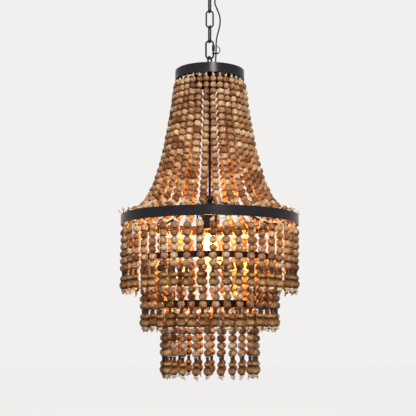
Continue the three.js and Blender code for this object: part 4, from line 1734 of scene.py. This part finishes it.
@dataclass
class CeilingFitting(Assembly):
    """The ceiling cup, its bracket and nipple, the loop under it and the two cord grips."""

    loop_height: float = -0.06055
    loop_radius: float = 0.01025
    loop_wire: float = 0.00225
    grip_bore: float = 0.0021
    ribs: int = 4

    def build(self) -> None:
        """Builds the fitting and both grips."""
        bottom, looks = HEIGHTS.cup_bottom, self.finishes
        cup = turned("cup_shell", rings(
            bottom, (5.3, 0), (18, 0), (47, 0), (50, 0.6), (52.7, 2.3), (54.4, 5), (55, 8), (55, 37),
            (54.6, 38), (53.9, 38), (53.5, 37), (53.5, 8.5), (52.8, 5.8), (51.2, 3.4), (49, 2), (46.5, 1.5),
            (5.3, 1.5)),
            96, closed=True)
        seat(smooth(cup, 40), "ceiling_fitting", looks.steel, "ceiling_cup")
        dress("ceiling_bracket", looks.zinc)
        dress("ceiling_nipple", looks.zinc)
        ring = torus("loop_ring", self.loop_radius, self.loop_wire, (0, 0, self.loop_height), steps=(56, 14))
        collar = turned("loop_collar", rings(
            bottom - GAP, (4, -12.6), (6.6, -12), (8.4, -10.8), (9, -9), (9, -0.4), (8.6, 0), (5.3, 0),
            (5.3, -6.3), (1, -6.3)), 40)
        loop = merge([ring, collar], "ceiling_loop_steel")
        seat(smooth(loop, 45), "ceiling_fitting", looks.zinc, "ceiling_loop")
        self._grip("cup_cord_grip", 0.018, bottom, 0.0015, -1, "ceiling_fitting")
        self._grip("plate_cord_grip", 0.0143, HEIGHTS.plate_top, 0.002, 1, "frame")

    def _grip(self, node: str, x: float, face: float, wall: float, sign: int, body: str) -> None:
        """A cord grip: its neck through the wall, its flange and a ribbed, tapered relief.

        Args:
            node: The solid it replaces.
            x: Its distance from the axis.
            face: Height of the wall's face on the relief's side.
            wall: Thickness of the wall.
            sign: 1 where the relief points up, -1 where it points down.
            body: The body it rides on.
        """
        bore, end = self.grip_bore, -wall - GAP - 0.002
        outline = [(bore, end), (0.004, end), *rings(GAP, (4, 0), (6, 0), (6, 1.4), (5.5, 2))]
        for i in range(self.ribs):
            wide = 4.6 - i * 0.45
            start = 0.0026 + i * 0.0022
            outline += rings(start, (wide, 0), (wide, 1.1), (wide - 0.6, 1.4), (wide - 0.6, 1.9))
        outline += [(0.0027, 0.0118), (bore, 0.012)]
        outline = [(radius, face + sign * height) for radius, height in outline[::sign]]
        grip = moved(turned(f"{node}_moulding", outline, 32, closed=True), x)
        seat(smooth(grip, 40), body, self.finishes.plastic, node)


@dataclass
class TopPlate(Assembly):
    """The plate that closes the top band."""

    radius: float = 0.0805
    bore: float = 0.0035
    thickness: float = 0.002

    def build(self) -> None:
        """Builds the plate with its rim."""
        top = HEIGHTS.plate_top
        low = top - self.thickness
        plate = turned("top_plate_steel", washer(self.bore, self.radius, low, top), 128, closed=True)
        seat(smooth(rounded(plate, 0.0004, 2, 60)), "frame", self.finishes.steel, "top_plate")


@dataclass
class MainsCord(Assembly):
    """The free cord beside the chain, a piece to each joint it passes, and the lead inside the frame."""

    radius: float = 0.0018
    route: tuple = (
        (18, 0, -50.6), (18, 0, -54.2), (18, 0, -59), (16.6, 0.6, -66), (13.6, 1.2, -74), (12.6, 1.4, -83.6),
        (15.4, 1.2, -92.4), (19.4, 0.6, -102.6), (23, -0.2, -112.6), (25, -1, -122.7), (25.2, -1.6, -132.8),
        (24, -1.8, -142.8), (21.8, -1.4, -152.9), (19.2, -0.8, -162.9), (16.8, -0.2, -172.9),
        (15.8, 0, -182.9), (15.5, 0, -192.9), (15.3, 0, -208), (14.5, 0, -222.8), (14.3, 0, -234),
        (14.3, 0, -239.45), (14.3, 0, -243.05))
    cuts: tuple = (-0.0893, -0.1266, -0.1642, -0.2034)
    bodies: tuple = ("ceiling_fitting", "upper_link", "middle_link", "lower_link", "screw_lock_link", "frame")
    lead_top: float = -0.26055
    lead_start: float = 0.0143
    lead_offset: float = 0.0098
    lead_drop: float = 0.050
    lead_end_rise: float = 0.0039

    def build(self) -> None:
        """Builds the cord's five pieces and the inner lead."""
        line = self._fine_line([Vector(mm(*point)) for point in self.route])
        cuts = [min(range(len(line)), key=lambda k: abs(line[k].z - cut)) for cut in self.cuts]
        for i, (first, last) in enumerate(zip([0, *cuts], [*cuts, len(line) - 1])):
            points = line[first:last + 1]
            piece = self._tube(f"mains_cord_{i + 1}", points)
            piece.data.materials.append(self.finishes.sheath.material)
            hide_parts("mains_cord")
            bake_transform(piece)
        self._lead()

    @staticmethod
    def _fine_line(points: list[Vector], steps: int = 4) -> list[Vector]:
        """Runs a smooth line through points.

        Args:
            points: The points.
            steps: Steps from each point to the next.

        Returns:
            The line's points.
        """
        line = []
        for i, (start, end) in enumerate(zip(points, points[1:])):
            before, after = points[max(i - 1, 0)], points[min(i + 2, len(points) - 1)]
            for t in (k / steps for k in range(steps)):
                square = (2 * before - 5 * start + 4 * end - after) * t ** 2
                cube = (3 * start - before - 3 * end + after) * t ** 3
                line.append(0.5 * (2 * start + (end - before) * t + square + cube))
        return [*line, points[-1]]

    def _tube(self, name: str, points: Sequence[Vector]) -> Piece:
        """A round tube along points.

        Args:
            name: The tube's name.
            points: The points.

        Returns:
            The tube.
        """
        bpy.ops.curve.primitive_nurbs_path_add(location=(0, 0, 0))
        piece = bpy.context.object
        piece.data.splines.clear()
        spline = piece.data.splines.new("POLY")
        spline.points.add(len(points) - 1)
        for knot, place in zip(spline.points, points):
            knot.co = (*place, 1)
        return smooth(swept(name, piece, self.radius, 4), 60)

    def _lead(self) -> None:
        """The lead from the plate's grip round behind the stem and down to the lampholder."""
        points = []
        for down, turn in ((0, 0), (0.1, 0.12), (0.3, 0.34), (0.55, 0.6), (0.8, 0.82), (1, 1)):
            out = self.lead_start + (self.lead_offset - self.lead_start) * turn
            points.append(around(90 * turn, out, self.lead_top - down * self.lead_drop))
        end, straight = HEIGHTS.cap_top + self.lead_end_rise, self.lead_top - self.lead_drop
        levels = (straight - self.lead_drop, (straight + end) / 2, end)
        points += [Vector((0, self.lead_offset, level)) for level in levels]
        lead = self._tube("inner_lead_sheath", self._fine_line(points, 6))
        seat(lead, "frame", self.finishes.sheath, "inner_lead")


@dataclass
class Lampholder(Assembly):
    """The lampholder's cap and ribbed body, of 37 mm across, and its porcelain core and contact."""

    ribs: int = 8
    first_rib: float = 0.0056
    rib_pitch: float = 0.003

    def build(self) -> None:
        """Builds the lampholder."""
        looks = self.finishes
        cap = turned("holder_cap_moulding", rings(
            HEIGHTS.holder_top, (16, -26), (18.1, -26), (18.5, -25.4), (18.5, -7), (17.8, -4), (15.5, -1.2),
            (13.5, 0), (3.6, 0), (3.6, -8), (13.5, -8), (16, -10.5)), 64, closed=True)
        seat(smooth(cap, 40), "frame", looks.plastic, "holder_cap")
        bottom = HEIGHTS.holder_bottom
        outline = rings(bottom, (16, 0), (17.7, 0), (18.5, 0.8), (18.5, 4), (17.8, 4.6))
        for i in range(self.ribs):
            start = bottom + self.first_rib + i * self.rib_pitch
            outline += rings(start, (17.8, 0), (18.4, 0.8), (18.4, 1.4), (17.8, 2.2))
        outline += rings(bottom, (18.5, 30.8), (18.5, 36), (16, 36))
        body = turned("holder_body_moulding", outline, 64, closed=True)
        seat(smooth(body, 40), "frame", looks.plastic, "holder_body")
        dress("holder_core", looks.porcelain)
        dress("holder_contact", looks.brass)


@dataclass
class Lamp(Assembly):
    """The lit filament lamp: cap, glass, glass stem and filament."""

    glass_length: float = 0.118
    glass_wall: float = 0.0008
    tip_radius: float = 0.02
    tip_drop: float = 0.09
    glare_height: float = -0.722
    glare_reach: float = 0.046
    glare_fade: float = 0.03
    threads: int = 6
    thread_pitch: float = 0.0036
    filament_high: float = HEIGHTS.glass_top - 0.032
    filament_low: float = HEIGHTS.glass_top - 0.082
    filament_radius: float = 0.0098
    filament_middle: float = 0.0092
    filament_wire: float = 0.0007
    folds: int = 12

    def build(self) -> None:
        """Builds the lamp and its light."""
        self._cap()
        self._glass()
        self._stem()
        self._filament()
        self._light()

    def _cap(self) -> None:
        """The screw cap with its rolled thread."""
        outline = rings(HEIGHTS.cap_bottom, (12.2, 0), (12.9, 0), (12.9, 1.6))
        for i in range(self.threads):
            start = HEIGHTS.cap_bottom + 0.0022 + i * self.thread_pitch
            outline += rings(start, (12.3, 0), (12.9, 1.2), (13, 1.8), (12.9, 2.4))
        outline += rings(HEIGHTS.cap_top, (12.2, -5.2), (9, -3.2), (5, -1.6), (4, -0.6), (2, 0))
        seat(smooth(turned("lamp_cap_brass", outline, 48), 50), "lamp", self.finishes.brass, "lamp_cap")

    def _glass(self) -> None:
        """The clear envelope of fine wall, with the glare's strength kept on it."""
        top, wall = HEIGHTS.glass_top, self.glass_wall
        shares = ((0.22, 15.2), (0.28, 17.8), (0.34, 21.2), (0.42, 25.4), (0.5, 28.8), (0.58, 31), (0.66, 32),
                  (0.74, 31.5), (0.81, 29.4), (0.88, 24.8), (0.94, 17.8), (0.98, 9.8), (0.997, 3))
        outside = rings(top, (11.8, 0), (11.8, -7.8), (14.4, -9.8), (14.5, -22.5))
        outside += [(wide * MM, top - down * self.glass_length) for down, wide in shares]
        inside = [(max(wide - wall, 0.0012),
                   height + (wall if wide < self.tip_radius and height < top - self.tip_drop else 0.0))
                  for wide, height in outside]
        glass = turned("lamp_glass_clear", [*outside, *reversed(inside)], 48, closed=True)
        heights = np.array([v.co.z for v in glass.data.vertices])
        glare = (self.glare_reach - np.abs(heights - self.glare_height)) / self.glare_fade
        keep_on(glass, "glare", np.clip(glare, 0.0, 1.0).astype(np.float32))
        seat(smooth(glass, 60), "lamp", self.finishes.glass, "lamp_glass").visible_shadow = False

    def _stem(self) -> None:
        """The glass stem with its post and the disc at each end of the filament."""
        stem = turned("lamp_stem_glass", rings(
            HEIGHTS.glass_top, (1, -83.2), (8.5, -82.8), (8.5, -81.6), (1, -81), (1, -33), (8.5, -32.4),
            (8.5, -31.2), (2, -30.6), (2.1, -12), (4.5, -6), (9.8, -1), (10.1, 0)), 32)
        seat(smooth(stem, 40), "lamp", self.finishes.glass, "lamp_stem").visible_shadow = False

    def _filament(self) -> None:
        """The filament, up and down between the discs."""
        high, low = self.filament_high, self.filament_low
        points = []
        for i in range(self.folds):
            points.append(around(360 * i / self.folds, self.filament_radius, high if i % 2 else low))
            points.append(around(360 * (i + 0.5) / self.folds, self.filament_middle, (high + low) / 2))
        wire = bent_wire("lamp_filament_wire", points, self.filament_wire, 6, closed=True, steps=2)
        seat(smooth(wire, 80), "lamp", self.finishes.filament, "lamp_filament").visible_shadow = False

    @staticmethod
    def _light() -> None:
        """The light that the filament gives, carried by the lamp."""
        bpy.ops.object.light_add(type="POINT", location=(0, 0, -0.672))
        glow = bpy.context.object
        glow.name = "filament_light"
        glow.data.color, glow.data.energy = (1.0, 0.46, 0.1), 5.6
        glow.data.shadow_soft_size = 0.02
        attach(glow, "lamp")


@dataclass(frozen=True)
class AreaLight:
    """A soft light: its place, the point it faces, its size, power in watts, colour and spread in degrees."""

    name: str
    place: tuple[float, float, float]
    target: tuple[float, float, float]
    size: tuple[float, float]
    power: float
    colour: tuple[float, float, float]
    spread: float = 180.0
    mirrored: bool = False

    def hang(self) -> None:
        """Hangs the light."""
        bpy.ops.object.light_add(type="AREA", location=self.place)
        light = bpy.context.object
        light.name = self.name
        light.data.shape = "RECTANGLE"
        light.data.size, light.data.size_y = self.size
        light.data.energy, light.data.color = self.power, self.colour
        light.data.spread = math.radians(self.spread)
        light.rotation_euler = (Vector(self.target) - Vector(self.place)).to_track_quat("-Z", "Y").to_euler()
        light.visible_glossy = self.mirrored


@dataclass
class Studio:
    """The pale floor, the surround, the lights and the camera, which stands where the photograph's did."""

    floor: float = -1.35
    floor_size: float = 24.0
    pale: Colour = (1.0, 0.99, 0.98, 1.0)
    floor_glow: float = 0.76
    light_level: float = 0.06
    seen_level: float = 0.88
    camera: tuple = (-0.0041, -2.1754, -0.8783)
    tilt: float = 7.63
    lens: float = 80.45
    lights: tuple = (
        AreaLight("key", (0.48, -2.35, 0.42), (0, 0, -0.46), (0.6, 0.8), 5.4, (1.0, 0.97, 0.94), 45.0, True),
        AreaLight("fill", (-1.3, -1.8, -0.45), (0, 0, -0.5), (1.0, 0.9), 1.1, (0.97, 0.98, 1.0), 50.0),
        AreaLight("rear_right", (1.7, 2.0, 0.4), (0, 0, -0.6), (1.3, 1.3), 28.0, (1.0, 0.98, 0.95)),
        AreaLight("rear_left", (-1.9, 1.9, 0.4), (0, 0, -0.6), (1.3, 1.3), 28.0, (1.0, 0.98, 0.95)))

    def build(self) -> None:
        """Builds the set."""
        self._floor()
        for light in self.lights:
            light.hang()
        self._world()
        self._camera()

    def _floor(self) -> None:
        """Lays the floor, which glows only where it is seen, so that it keeps the chandelier's shadow."""
        bpy.ops.mesh.primitive_plane_add(size=self.floor_size, location=(0, 0, self.floor))
        floor = bpy.context.object
        floor.name = "floor"
        recipe = Recipe("pale floor")
        clouds = recipe.noise(recipe.place(), 3.0)
        floor.data.materials.append(recipe.done(
            Base_Color=recipe.mixed(clouds, srgb(122, 121, 120), srgb(116, 115, 114)), Roughness=0.8,
            Emission_Color=recipe.mixed(recipe.seen(), (0.0, 0.0, 0.0, 1.0), self.pale),
            Emission_Strength=self.floor_glow))

    def _world(self) -> None:
        """Sets a plain pale surround that is seen as pale and lights softly."""
        world = bpy.data.worlds.new("surround")
        bpy.context.scene.world = world
        world.use_nodes = True
        graph = Graph(world.node_tree)
        level = graph.ranged(graph.seen(), self.light_level, self.seen_level)
        graph.feed(world.node_tree.nodes["Background"].inputs, {"Color": self.pale, "Strength": level})

    def _camera(self) -> None:
        """Sets the camera."""
        bpy.ops.object.camera_add(location=self.camera, rotation=(math.radians(90 + self.tilt), 0, 0))
        camera = bpy.context.object
        camera.data.lens, camera.data.sensor_width = self.lens, 36
        camera.data.clip_start, camera.data.clip_end = 0.01, 100
        bpy.context.scene.camera = camera
        bpy.context.scene.view_settings.view_transform = "Standard"


def main() -> None:
    """Builds the set and every sub-assembly, in order."""
    Studio().build()
    finishes = Finishes()
    for assembly in (MainsCord, CeilingFitting, Chain, TopPlate, Bands, Spider, Lampholder, Lamp):
        assembly(finishes).build()
    kit = BeadKit()
    UpperStrands(finishes, kit).build()
    for tier in Tier:
        HangingTier(finishes, tier, kit).build()
    kit.retire()
    clear_selection()


if __name__ == "__main__":
    main()
